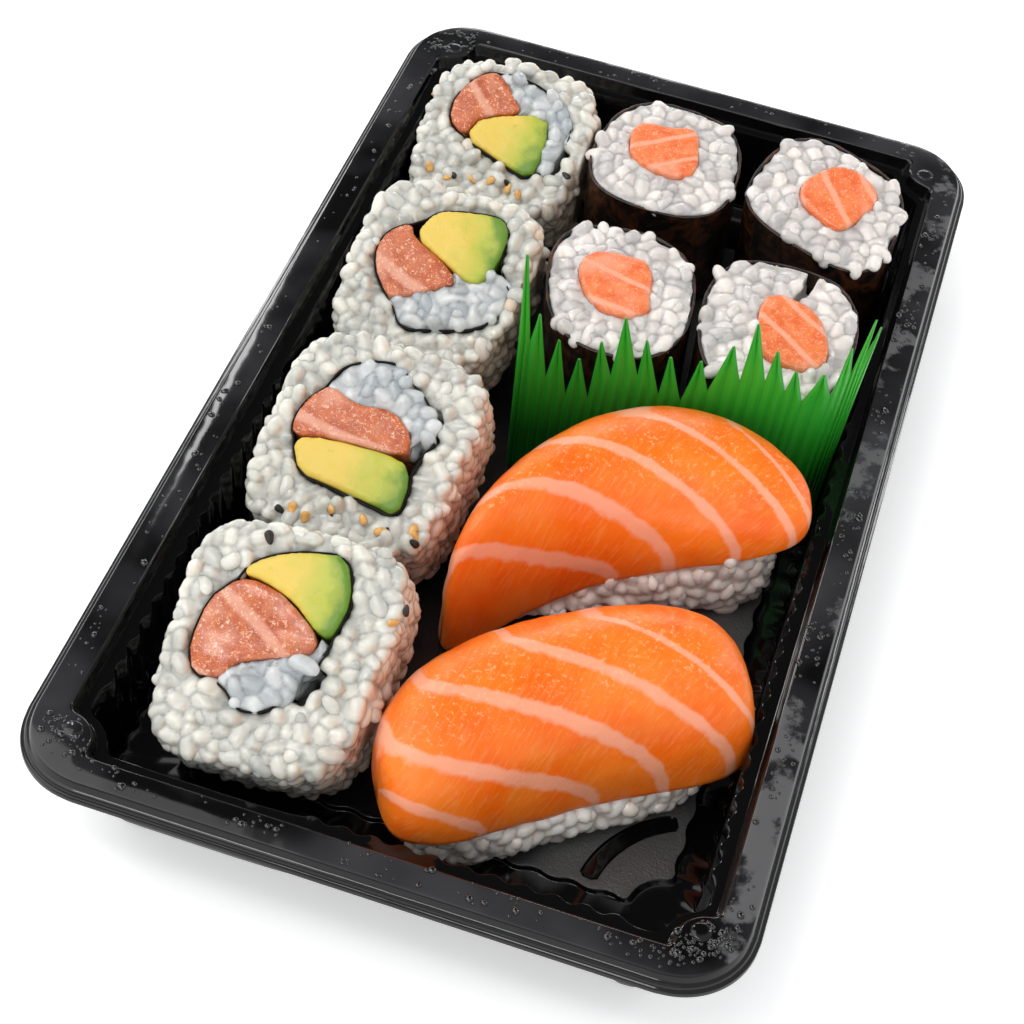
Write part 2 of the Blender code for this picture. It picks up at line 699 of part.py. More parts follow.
def build_nigiri_salmon(name, spec, group):
    """A slice of salmon draped as a shell over the rice."""
    bm = bmesh.new()
    power = spec["arch_power"]
    length = spec["half_length"]
    stations = 14
    across = 9
    outer_rows = []
    inner_rows = []
    for i in range(stations):
        along = 0.9985 * math.sin(math.pi * (i / (stations - 1) - 0.5))
        middle, half, hem, crest = nigiri_section(spec, along)
        inner_half, inner_rise = slice_hollow(half, hem, crest)
        outer_row = []
        inner_row = []
        for k in range(across):
            v = math.sin(math.pi * (k / (across - 1) - 0.5))
            lift = arch(v, power)
            outer_row.append(nigiri_place(
                spec, along * length, middle + half * v, hem + (crest - hem) * lift))
            inner_row.append(nigiri_place(
                spec, along * (length - SLICE_END), middle + inner_half * v,
                hem + inner_rise * lift))
        outer_rows.append(ring_of(bm, outer_row))
        inner_rows.append(ring_of(bm, inner_row))
    last = across - 1
    for i in range(stations - 1):
        for k in range(last):
            bm.faces.new((outer_rows[i][k], outer_rows[i + 1][k],
                          outer_rows[i + 1][k + 1], outer_rows[i][k + 1]))
            bm.faces.new((inner_rows[i][k], inner_rows[i][k + 1],
                          inner_rows[i + 1][k + 1], inner_rows[i + 1][k]))
        for k in (0, last):
            bm.faces.new((outer_rows[i][k], inner_rows[i][k],
                          inner_rows[i + 1][k], outer_rows[i + 1][k]))
    for i in (0, stations - 1):
        bm.faces.new(outer_rows[i])
        bm.faces.new(inner_rows[i])
        bm.faces.new((outer_rows[i][0], outer_rows[i][last],
                      inner_rows[i][last], inner_rows[i][0]))
    bmesh.ops.triangulate(bm, faces=[item for item in bm.faces if len(item.verts) > 4])
    return publish(bm, name + "_salmon", group, "salmon", 0.3)


def rice_section(spec, along, shrink):
    """Closed section of the pressed rice: a block below, a dome in the slice."""
    middle, half, hem, crest = nigiri_section(spec, along)
    hollow_at = max(-0.99, min(0.99, along * spec["half_length"]
                               / (spec["half_length"] - SLICE_END)))
    middle_in, half_in, hem_in, crest_in = nigiri_section(spec, hollow_at)
    inner_half, inner_rise = slice_hollow(half_in, hem_in, crest_in)
    neck = max(inner_half - 0.75, 0.2) * shrink
    shoulder = max(min(hem, hem_in) - 0.7, REST_HEIGHT + 0.3)
    front = (half + RICE_FOOT) * shrink
    back = (half - RICE_TUCK) * shrink
    if shoulder < REST_HEIGHT + 3.0:
        front = neck
        back = neck
    section = []
    for side, width in ((1.0, back), (-1.0, front)):
        step = (shoulder - REST_HEIGHT) * (0.6 + 0.4 * shrink)
        points = [(middle + side * width * 0.86, REST_HEIGHT),
                  (middle + side * width, REST_HEIGHT + step * 0.35),
                  (middle + side * width * 0.97, REST_HEIGHT + step * 0.9),
                  (middle_in + side * neck, REST_HEIGHT + step)]
        for share in (0.86, 0.5):
            dome = max(inner_rise - 0.5, 0.2) * arch(share, spec["arch_power"])
            points.append((middle_in + side * neck * share,
                           REST_HEIGHT + step + dome * shrink ** 0.5))
        section.append(points)
    dome = max(inner_rise - 0.5, 0.2) * shrink ** 0.5
    top = (middle_in, section[0][3][1] + dome)
    ring = section[0] + [top] + list(reversed(section[1]))
    return ring


def build_nigiri_rice(name, spec, group):
    """The pressed rice under the slice, kept clear of the slice's underside."""
    bm = bmesh.new()
    length = spec["half_length"]
    stations = 12
    rows = []
    start = spec["rice_from"]
    end = spec["rice_to"]
    for i in range(stations):
        local = 0.995 * math.sin(math.pi * (i / (stations - 1) - 0.5))
        along = (start + end) / 2.0 + (end - start) / 2.0 * local
        shrink = (1.0 - abs(local) ** 3.2) ** (1.0 / 3.2)
        ring = [nigiri_place(spec, along * length, y, z)
                for y, z in rice_section(spec, along, shrink)]
        rows.append(ring_of(bm, ring))
    for one, two in zip(rows, rows[1:]):
        skin(bm, one, two)
    bm.faces.new(rows[0])
    bm.faces.new(rows[-1])
    bmesh.ops.triangulate(bm, faces=[item for item in bm.faces if len(item.verts) > 4])
    return publish(bm, name + "_rice", group, "rice")


# --------------------------------------------------------------------- grass
def grass_point(share, height):
    """Point of the leaning grass strip at a share of its length."""
    lengths = [0.0]
    for (ax, ay), (bx, by) in zip(GRASS_LINE, GRASS_LINE[1:]):
        lengths.append(lengths[-1] + math.hypot(bx - ax, by - ay))
    target = share * lengths[-1]
    spot = 0
    while spot < len(GRASS_LINE) - 2 and lengths[spot + 1] < target:
        spot += 1
    t = (target - lengths[spot]) / (lengths[spot + 1] - lengths[spot])
    ax, ay = GRASS_LINE[spot]
    bx, by = GRASS_LINE[spot + 1]
    lean = GRASS_LEAN[0] + (GRASS_LEAN[1] - GRASS_LEAN[0]) * min(1.0, share * 2.0)
    rise = height - REST_HEIGHT
    fan = GRASS_FAN * rise * (2.0 * share - 1.0) ** 3
    return (ax + (bx - ax) * t + fan, ay + (by - ay) * t + lean * rise, height)


def build_grass(group):
    """A cut plastic strip with blades of uneven height."""
    bm = bmesh.new()
    start = 0.0
    foot = bm.verts.new(grass_point(start, REST_HEIGHT + 0.1))
    waist = bm.verts.new(grass_point(start, GRASS_BLADES[0][3]))
    for share, tip, end, cut in GRASS_BLADES:
        next_foot = bm.verts.new(grass_point(end, REST_HEIGHT + 0.1))
        next_waist = bm.verts.new(grass_point(end, cut))
        peak = bm.verts.new(grass_point(share, tip))
        bm.faces.new((foot, next_foot, next_waist, waist))
        bm.faces.new((waist, next_waist, peak))
        foot = next_foot
        waist = next_waist
    grass = publish(bm, "grass_divider", group, "green_plastic", 0.35)
    sheet = grass.modifiers.new("sheet", "SOLIDIFY")
    sheet.thickness = GRASS_SHEET * MM
    sheet.offset = 0.0
    return grass


def main():
    """Build every sub-part in its collection."""
    clear_scene()
    group = new_collection("sushi_tray")
    build_tray(group)
    for name in URAMAKI:
        build_uramaki(name, group)
    for name in HOSOMAKI:
        build_hosomaki(name, group)
    for name, spec in NIGIRI.items():
        build_nigiri_rice(name, spec, group)
        build_nigiri_salmon(name, spec, group)
    build_grass(group)


main()
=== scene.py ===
"""Looks of a takeaway sushi tray.

A black formed tray holds four uramaki, four hosomaki, two salmon nigiri and a
strip of green plastic grass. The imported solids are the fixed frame: each food
or plastic piece here stands for its own solid, at the same place and size.
Lengths are in millimetres until a mesh is written, which is in metres.
"""
import json
import logging
import math
import random
from dataclasses import dataclass, field, replace
from typing import Any, Callable, Optional, Sequence

import bpy
import numpy as np
from mathutils import Matrix, Vector
from mathutils.bvhtree import BVHTree
from mathutils.kdtree import KDTree

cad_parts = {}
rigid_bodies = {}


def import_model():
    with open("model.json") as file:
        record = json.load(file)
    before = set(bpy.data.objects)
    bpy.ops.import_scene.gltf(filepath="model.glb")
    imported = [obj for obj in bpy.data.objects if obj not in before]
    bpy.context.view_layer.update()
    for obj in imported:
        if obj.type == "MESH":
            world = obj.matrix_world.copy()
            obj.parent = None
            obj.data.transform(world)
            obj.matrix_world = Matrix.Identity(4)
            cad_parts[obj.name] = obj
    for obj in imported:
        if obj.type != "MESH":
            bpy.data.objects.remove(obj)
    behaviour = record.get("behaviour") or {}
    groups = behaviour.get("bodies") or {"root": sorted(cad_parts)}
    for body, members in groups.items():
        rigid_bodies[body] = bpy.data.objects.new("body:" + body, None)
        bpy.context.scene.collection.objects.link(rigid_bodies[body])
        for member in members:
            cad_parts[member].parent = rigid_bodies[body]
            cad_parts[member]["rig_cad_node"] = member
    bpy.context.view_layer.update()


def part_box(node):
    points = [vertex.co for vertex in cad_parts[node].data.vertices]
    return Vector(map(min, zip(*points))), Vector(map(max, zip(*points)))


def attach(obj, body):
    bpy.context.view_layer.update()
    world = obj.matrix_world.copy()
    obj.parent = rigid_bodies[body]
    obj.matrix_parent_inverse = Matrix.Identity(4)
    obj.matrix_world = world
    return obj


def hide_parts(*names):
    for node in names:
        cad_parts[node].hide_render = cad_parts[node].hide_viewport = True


MM = 0.001
BODY = "root"
log = logging.getLogger("sushi_tray")

Colour = tuple[float, float, float, float]
Point = tuple[float, float]
Spot = tuple[float, float, float]
Piece = bpy.types.Object
Tree = bpy.types.NodeTree
Node = bpy.types.Node


# ------------------------------------------------------------ small helpers
def linear(code: str) -> Colour:
    """Turn an sRGB hex value into a linear colour.

    Args:
        code: Colour as "#rrggbb".

    Returns:
        Linear red, green, blue and alpha.
    """
    parts = [int(code[i:i + 2], 16) / 255.0 for i in (1, 3, 5)]
    red, green, blue = (p / 12.92 if p <= 0.04045 else ((p + 0.055) / 1.055) ** 2.4
                        for p in parts)
    return red, green, blue, 1.0


def per_mm(size: float) -> float:
    """Scale of a pattern whose features measure size millimetres."""
    return 1.0 / (size * MM)


def set_up(tree: Tree, node: Node, settings: dict, links: dict) -> None:
    """Give a node its settings and links.

    Args:
        tree: Node tree of the material.
        node: The node.
        settings: Values by socket name or number, or by property name. "stops"
            holds the positions and colours of a colour ramp.
        links: What feeds each input, by its name or number: an output socket, or
            a node for its first output.
    """
    for key, value in settings.items():
        if key == "stops":
            ramp = node.color_ramp.elements
            while len(ramp) < len(value):
                ramp.new(0.5)
            for stop, (position, colour) in zip(ramp, value):
                stop.position = position
                stop.color = colour
        elif isinstance(key, int) or key in node.inputs:
            node.inputs[key].default_value = value
        else:
            setattr(node, key, value)
    for key, source in links.items():
        feed = source.outputs[0] if isinstance(source, Node) else source
        tree.links.new(feed, node.inputs[key])


def add_node(tree: Tree, kind: str, settings: Optional[dict] = None,
             links: Optional[dict] = None) -> Node:
    """Add a node with its settings and links.

    Args:
        tree: Node tree of the material.
        kind: Node type, without the "ShaderNode" that all of them start with.
        settings: As in set_up.
        links: As in set_up.

    Returns:
        The new node.
    """
    made = tree.nodes.new("ShaderNode" + kind)
    set_up(tree, made, settings or {}, links or {})
    return made


def pick(*items: Piece) -> None:
    """Select only these objects and make the first one active."""
    bpy.ops.object.select_all(action="DESELECT")
    for item in items:
        item.select_set(True)
    bpy.context.view_layer.objects.active = items[0]


def edit(item: Piece, *steps: Callable[[], Any]) -> None:
    """Run edit mode steps on all of an object.

    Args:
        item: Object to edit.
        steps: Calls made in order inside edit mode.
    """
    pick(item)
    bpy.ops.object.mode_set(mode="EDIT")
    bpy.ops.mesh.select_all(action="SELECT")
    for step in steps:
        step()
    bpy.ops.object.mode_set(mode="OBJECT")


def edit_edges(item: Piece, chosen: Sequence[bool], *steps: Callable[[], Any]) -> None:
    """Run edit mode steps on some edges of an object.

    Args:
        item: Object to edit.
        chosen: Whether each edge starts selected.
        steps: Calls made in order inside edit mode.
    """
    pick(item)
    bpy.context.tool_settings.mesh_select_mode = (False, True, False)
    bpy.ops.object.mode_set(mode="EDIT")
    bpy.ops.mesh.select_all(action="DESELECT")
    bpy.ops.object.mode_set(mode="OBJECT")
    for edge, wanted in zip(item.data.edges, chosen):
        edge.select = bool(wanted)
    bpy.ops.object.mode_set(mode="EDIT")
    for step in steps:
        step()
    bpy.ops.object.mode_set(mode="OBJECT")
    bpy.context.tool_settings.mesh_select_mode = (True, False, False)


def weld(item: Piece, reach: float) -> None:
    """Merge vertices within a reach in millimetres and turn every face outward."""
    edit(item, lambda: bpy.ops.mesh.remove_doubles(threshold=reach * MM),
         lambda: bpy.ops.mesh.normals_make_consistent(inside=False))


def finish_with(item: Piece, kind: str, **settings: Any) -> None:
    """Add a modifier with its settings and apply it.

    Args:
        item: Object that the modifier shapes.
        kind: Modifier type.
        settings: Properties of the modifier by name.
    """
    pick(item)
    modifier = item.modifiers.new(kind.lower(), kind)
    for key, value in settings.items():
        setattr(modifier, key, value)
    bpy.ops.object.modifier_apply(modifier=modifier.name)


def relief(item: Piece, size: float, height: float, depth: int = 2) -> None:
    """Raise and lower a surface by soft noise.

    Args:
        item: Object to work on.
        size: Width of the bumps in millimetres.
        height: Full height of the bumps in millimetres.
        depth: Octaves of the noise.
    """
    clouds = bpy.data.textures.new(f"relief_{item.name}_{size}", "CLOUDS")
    clouds.noise_scale = size * MM
    clouds.noise_depth = depth
    finish_with(item, "DISPLACE", texture=clouds, texture_coords="LOCAL",
                strength=height * MM, mid_level=0.5)
    bpy.data.textures.remove(clouds)


def place(item: Piece, points: np.ndarray) -> None:
    """Lay an object's vertices on points given in millimetres."""
    item.data.vertices.foreach_set("co", np.asarray(points, np.float32).ravel() * MM)
    item.data.update()


def places(item: Piece) -> np.ndarray:
    """Vertices of an object in millimetres."""
    found = np.zeros(len(item.data.vertices) * 3, np.float32)
    item.data.vertices.foreach_get("co", found)
    return found.reshape(-1, 3).astype(float) / MM


def in_order(item: Piece) -> None:
    """Put the faces of a ball in a fixed order, so that every run gives the same result."""
    mesh = item.data
    spots = [vertex.co.copy() for vertex in mesh.vertices]
    faces = []
    for face in mesh.polygons:
        ring = list(face.vertices)
        first = ring.index(min(ring))
        faces.append(ring[first:] + ring[:first])
    mesh.clear_geometry()
    mesh.from_pydata(spots, [], sorted(faces))


def mark(item: Piece, name: str, values: np.ndarray) -> None:
    """Keep one number or one vector for each vertex as an attribute."""
    values = np.asarray(values, np.float32)
    kind = "FLOAT" if values.ndim == 1 else "FLOAT_VECTOR"
    slot = item.data.attributes.new(name, kind, "POINT")
    slot.data.foreach_set("value" if values.ndim == 1 else "vector", values.ravel())


def copy_of(node: str, name: str) -> Piece:
    """A merged copy of a solid's mesh, for a piece that stands for it.

    Args:
        node: Name of the solid.
        name: Name of the new piece.

    Returns:
        The copy, with neither material nor parent.
    """
    mesh = bpy.data.objects[node].data.copy()
    mesh.materials.clear()
    item = bpy.data.objects.new(name, mesh)
    bpy.context.scene.collection.objects.link(item)
    edit(item, lambda: bpy.ops.mesh.remove_doubles(threshold=0.00002))
    return item


def drop_split_normals(item: Piece) -> None:
    """Let a copied mesh work out its own normals."""
    pick(item)
    if item.data.has_custom_normals:
        bpy.ops.mesh.customdata_custom_splitnormals_clear()


def smooth(item: Piece, degrees: float = 40.0) -> None:
    """Shade smooth, but keep edges sharper than an angle."""
    pick(item)
    bpy.ops.object.shade_smooth_by_angle(angle=math.radians(degrees))


def publish(item: Piece, finish: "Finish", slot: str, *nodes: str) -> Piece:
    """Dress a finished piece and tie it to the frame.

    Args:
        item: The piece.
        finish: Its surface finish.
        slot: Material slot of the record; not used.
        nodes: Solids that the piece stands for.

    Returns:
        The piece.
    """
    item.data.materials.clear()
    item.data.materials.append(finish.material())
    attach(item, BODY)
    if nodes:
        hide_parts(*nodes)
    item.data.calc_loop_triangles()
    log.info("%s: %d triangles", item.name, len(item.data.loop_triangles))
    return item


def soften(outline: Sequence[Point], rounds: int) -> np.ndarray:
    """Cut the corners of a closed outline until it reads as a curve.

    Args:
        outline: Points of the closed outline.
        rounds: How often each corner is cut.

    Returns:
        The outline with twice as many points for each round.
    """
    points = np.asarray(outline, float)
    for _ in range(rounds):
        following = np.roll(points, -1, axis=0)
        cut = np.empty((2 * len(points), 2))
        cut[0::2] = points * 0.75 + following * 0.25
        cut[1::2] = points * 0.25 + following * 0.75
        points = cut
    return points


def lifted(outline: np.ndarray, height: float) -> np.ndarray:
    """Flat points at one height."""
    return np.column_stack([outline, np.full(len(outline), height)])


def extrude_along(name: str, rings: Sequence[np.ndarray]) -> Piece:
    """Lay a circle on the first ring and extrude it onto each further ring.

    Args:
        name: Name of the new object.
        rings: Closed rings with equal numbers of points, in millimetres.

    Returns:
        The open band through all the rings.
    """
    count = len(rings[0])
    bpy.ops.mesh.primitive_circle_add(vertices=count, radius=1.0)
    item = bpy.context.active_object
    item.name = name
    place(item, rings[0])
    order = np.arange(count)
    for ring in rings[1:]:
        bpy.ops.object.mode_set(mode="EDIT")
        bpy.ops.mesh.extrude_region_move()
        bpy.ops.object.mode_set(mode="OBJECT")
        now = places(item)
        fresh = {tuple(now[i].round(6)): i for i in range(len(now) - count, len(now))}
        order = np.array([fresh[tuple(now[i].round(6))] for i in order])
        now[order] = ring
        place(item, now)
    return item


def fill_level(item: Piece, height: float) -> None:
    """Fill the flat region between the open edges that lie at one height.

    Args:
        item: Object with open edges.
        height: Height of the region in millimetres.
    """
    mesh = item.data
    used = np.zeros(len(mesh.loops), np.int32)
    mesh.loops.foreach_get("edge_index", used)
    users = np.bincount(used, minlength=len(mesh.edges))
    level = np.abs(places(item)[:, 2] - height) < 0.01
    chosen = [users[edge.index] == 1 and all(level[i] for i in edge.vertices)
              for edge in mesh.edges]
    edit_edges(item, chosen, lambda: bpy.ops.mesh.fill(use_beauty=True))


# ------------------------------------------------------------------ finishes
@dataclass(frozen=True)
class Finish:
    """A surface finish, written once as a material."""

    name: str

    def dress(self, tree: Tree, shader: Node) -> None:
        """Add the finish's own nodes; each finish does this its own way."""
        raise NotImplementedError

    def material(self) -> bpy.types.Material:
        """The material of this finish, made at first use.

        Returns:
            The material.
        """
        found = bpy.data.materials.get(self.name)
        if found:
            return found
        made = bpy.data.materials.new(self.name)
        made.use_nodes = True
        tree = made.node_tree
        tree.nodes.clear()
        shader = add_node(tree, "BsdfPrincipled")
        add_node(tree, "OutputMaterial", links={"Surface": shader})
        self.dress(tree, shader)
        return made


@dataclass(frozen=True)
class BlackPolystyrene(Finish):
    """Black polystyrene sheet, vacuum formed: glossy, with a grained floor and a wet rim."""

    base: str = "#070708"
    grained: str = "#4c4b4a"
    # Grey of the wet film, partly painted reflection of the light.
    film: str = "#565657"
    mist: str = "#3a3a3c"
    pad_band: Point = (1.2, 1.4)
    # Painted shade: along X between these places in millimetres, the pad's grey rises out of
    # black; its grain and roughness follow.
    lit_and_grained_from: Point = (12.0, 26.0)
    flange_level: float = 21.9
    # along an axis, from one place to another in millimetres, the film and its painted
    # reflection thin or thicken from one share to another
    wetness: tuple[tuple[str, float, float, float, float], ...] = (
        ("X", 48.0, 53.0, -0.2, 0.09), ("Y", -90.0, -84.0, -0.14, 0.0),
        ("Y", -60.0, -46.0, 0.0, -0.16))

    def dress(self, tree: Tree, shader: Node) -> None:
        """Gloss all over, a grain on the floor pad with painted shade to its left, and a wet film
        on the rim whose grey is partly painted reflection.
        """
        place_at = add_node(tree, "TexCoord").outputs["Object"]
        spot = add_node(tree, "SeparateXYZ", links={0: place_at})
        # The mould is sand-blasted under the floor pad, which comes out matt and grained.
        # Painted shade: the pad's grey fades to black towards its left, where it lies between
        # the pieces, and its grain and roughness fade with it.
        above = add_node(tree, "Math", {"operation": "GREATER_THAN", 1: self.pad_band[0] * MM},
                         {0: spot.outputs["Z"]})
        below = add_node(tree, "Math", {"operation": "LESS_THAN", 1: self.pad_band[1] * MM},
                         {0: spot.outputs["Z"]})
        floor = add_node(tree, "Math", {"operation": "MULTIPLY"}, {0: above, 1: below})
        # Painted shade: the grey of the pad is darkened towards its left; grain and roughness fade
        # with it.
        lit_and_grained = add_node(tree, "MapRange",
                        {"From Min": self.lit_and_grained_from[0] * MM,
                         "From Max": self.lit_and_grained_from[1] * MM, "To Min": 0.12},
                        {"Value": spot.outputs["X"]})
        pad = add_node(tree, "Math", {"operation": "MULTIPLY"}, {0: floor, 1: lit_and_grained})
        grit = add_node(tree, "TexNoise", {"Scale": per_mm(0.7), "Detail": 3.0, "Roughness": 0.8},
                        {"Vector": place_at})
        # Condensation leaves a rougher film on the right of the flange, by its near corner; its
        # grey is partly painted reflection of the light on the wet film.
        level = add_node(tree, "Math", {"operation": "GREATER_THAN", 1: self.flange_level * MM},
                         {0: spot.outputs["Z"]})
        wet = add_node(tree, "TexNoise", {"Scale": per_mm(8.0), "Detail": 6.0, "Roughness": 0.6},
                       {"Vector": place_at})
        for axis, start, end, before, after in self.wetness:
            shift = add_node(tree, "MapRange",
                             {"From Min": start * MM, "From Max": end * MM, "To Min": before,
                              "To Max": after}, {"Value": spot.outputs[axis]})
            wet = add_node(tree, "Math", {"operation": "ADD"}, {0: wet, 1: shift})
        patch = add_node(tree, "MapRange", {"From Min": 0.47, "From Max": 0.54}, {"Value": wet})
        film = add_node(tree, "Math", {"operation": "MULTIPLY"}, {0: patch, 1: level})
        # Breath of moisture greys the rest of the flange in soft clouds.
        clouds = add_node(tree, "TexNoise", {"Scale": per_mm(28.0), "Detail": 3.0},
                          {"Vector": place_at})
        breath = add_node(tree, "MapRange", {"From Min": 0.38, "From Max": 0.68},
                          {"Value": clouds})
        misted = add_node(tree, "Math", {"operation": "MULTIPLY"}, {0: breath, 1: level})
        hazy = add_node(tree, "Mix",
                        {"data_type": "RGBA", 6: linear(self.base), 7: linear(self.mist)},
                        {0: misted})
        # Painted reflection: the film patches are lightened towards the film grey.
        reflecting_film = add_node(tree, "Mix", {"data_type": "RGBA", 7: linear(self.film)},
                          {0: film, 6: hazy.outputs[2]})
        colour = add_node(tree, "Mix", {"data_type": "RGBA", 7: linear(self.grained)},
                          {0: pad, 6: reflecting_film.outputs[2]})
        gloss = add_node(tree, "MapRange", {"To Min": 0.09, "To Max": 0.4}, {"Value": film})
        rough = add_node(tree, "Mix", {3: 0.3}, {0: pad, 2: gloss})
        waves = add_node(tree, "TexNoise", {"Scale": per_mm(6.0), "Detail": 1.0},
                         {"Vector": place_at})
        faint = add_node(tree, "Math", {"operation": "MULTIPLY", 1: 0.35}, {0: waves})
        grained = add_node(tree, "Math", {"operation": "MULTIPLY"}, {0: grit, 1: pad})
        height = add_node(tree, "Math", {"operation": "ADD"}, {0: faint, 1: grained})
        bump = add_node(tree, "Bump", {"Strength": 0.8, "Distance": 0.3 * MM}, {"Height": height})
        set_up(tree, shader, {"IOR": 1.5, "Specular IOR Level": 0.36},
               {"Base Color": colour.outputs[2], "Roughness": rough, "Normal": bump})


@dataclass(frozen=True)
class CookedRice(Finish):
    """Cooked short-grain rice: milky and slightly see-through, with a damp gloss."""

    milky: str = "#dfdcd1"
    glassy: str = "#a8aba6"
    # Painted shade: rice that faces right is darkened and warmed towards this colour.
    shaded_right: str = "#d3a070"
    gloss: float = 0.24
    depth: float = 2.2
    # Share of painted shade in the creases between grains.
    crease: float = 0.3
    cloud: float = 0.8

    def loose(self, name: str) -> "CookedRice":
        """The finish of single grains, in which light travels less far."""
        return replace(self, name=name, depth=0.6, cloud=0.3)

    def dress(self, tree: Tree, shader: Node) -> None:
        """Each grain has its own tone; painted shade darkens rice that faces right, and the
        creases between grains.
        """
        place_at = add_node(tree, "TexCoord").outputs["Object"]
        tone = add_node(tree, "Attribute", {"attribute_name": "tone"})
        stain = add_node(tree, "Attribute", {"attribute_name": "stain"})
        # Starch clouds the grain's heart unevenly, over about two millimetres.
        clouded = add_node(tree, "TexNoise", {"Scale": per_mm(2.4), "Detail": 2.0},
                           {"Vector": place_at})
        shift = add_node(tree, "Math", {"operation": "MULTIPLY_ADD", 1: 0.9, 2: -0.45},
                         {0: clouded})
        starch = add_node(tree, "Math", {"operation": "ADD", "use_clamp": True},
                          {0: tone.outputs["Fac"], 1: shift})
        grain = add_node(tree, "Mix",
                         {"data_type": "RGBA", 6: linear(self.glassy), 7: linear(self.milky)},
                         {0: starch})
        # Painted shade: rice that faces right takes the darker, warmer colour.
        shaded_grain = add_node(tree, "Mix", {"data_type": "RGBA", 7: linear(self.shaded_right)},
                          {0: stain.outputs["Fac"], 6: grain.outputs[2]})
        # Painted shade: the creases between grains are darkened by a share of the colour.
        crease = add_node(tree, "Attribute", {"attribute_name": "crease"})
        crease_shade = add_node(tree, "MapRange", {"To Min": 1.0, "To Max": 1.0 - self.crease},
                        {"Value": crease.outputs["Fac"]})
        parted = add_node(tree, "Mix", {"data_type": "RGBA", "blend_type": "MULTIPLY", 0: 1.0},
                          {6: shaded_grain.outputs[2], 7: crease_shade})
        skin = add_node(tree, "TexNoise", {"Scale": per_mm(1.5), "Detail": 4.0},
                        {"Vector": place_at})
        bump = add_node(tree, "Bump", {"Strength": 0.45, "Distance": 0.3 * MM}, {"Height": skin})
        set_up(tree, shader,
               {"Roughness": self.gloss, "IOR": 1.42, "Subsurface Weight": self.cloud,
                "Subsurface Scale": self.depth * MM, "Subsurface Radius": (1.0, 0.85, 0.7),
                "Coat Weight": 0.5, "Coat Roughness": 0.09},
               {"Base Color": parted.outputs[2], "Normal": bump})


@dataclass(frozen=True)
class RoastedNori(Finish):
    """Roasted seaweed gone damp: near black, with red-brown wrinkles that shine."""

    dark: str = "#0a0806"
    brown: str = "#5c3218"
    shine: float = 0.5

    def dress(self, tree: Tree, shader: Node) -> None:
        """Wrinkles run down the roll and carry the brown."""
        place_at = add_node(tree, "TexCoord").outputs["Object"]
        drawn = add_node(tree, "Mapping", {"Scale": (1.0, 1.0, 0.7)}, {"Vector": place_at})
        wrinkle = add_node(tree, "TexNoise",
                           {"Scale": per_mm(4.5), "Detail": 7.0, "Roughness": 0.7,
                            "Distortion": 1.4}, {"Vector": drawn})
        colour = add_node(tree, "ValToRGB",
                          {"stops": ((0.46, linear(self.dark)), (0.72, linear(self.brown)))},
                          {"Fac": wrinkle})
        bump = add_node(tree, "Bump", {"Strength": 0.8, "Distance": 0.6 * MM}, {"Height": wrinkle})
        set_up(tree, shader,
               {"Roughness": 0.32, "IOR": 1.45, "Coat Weight": 0.4 * self.shine,
                "Coat Roughness": 0.2, "Specular IOR Level": self.shine},
               {"Base Color": colour, "Normal": bump})


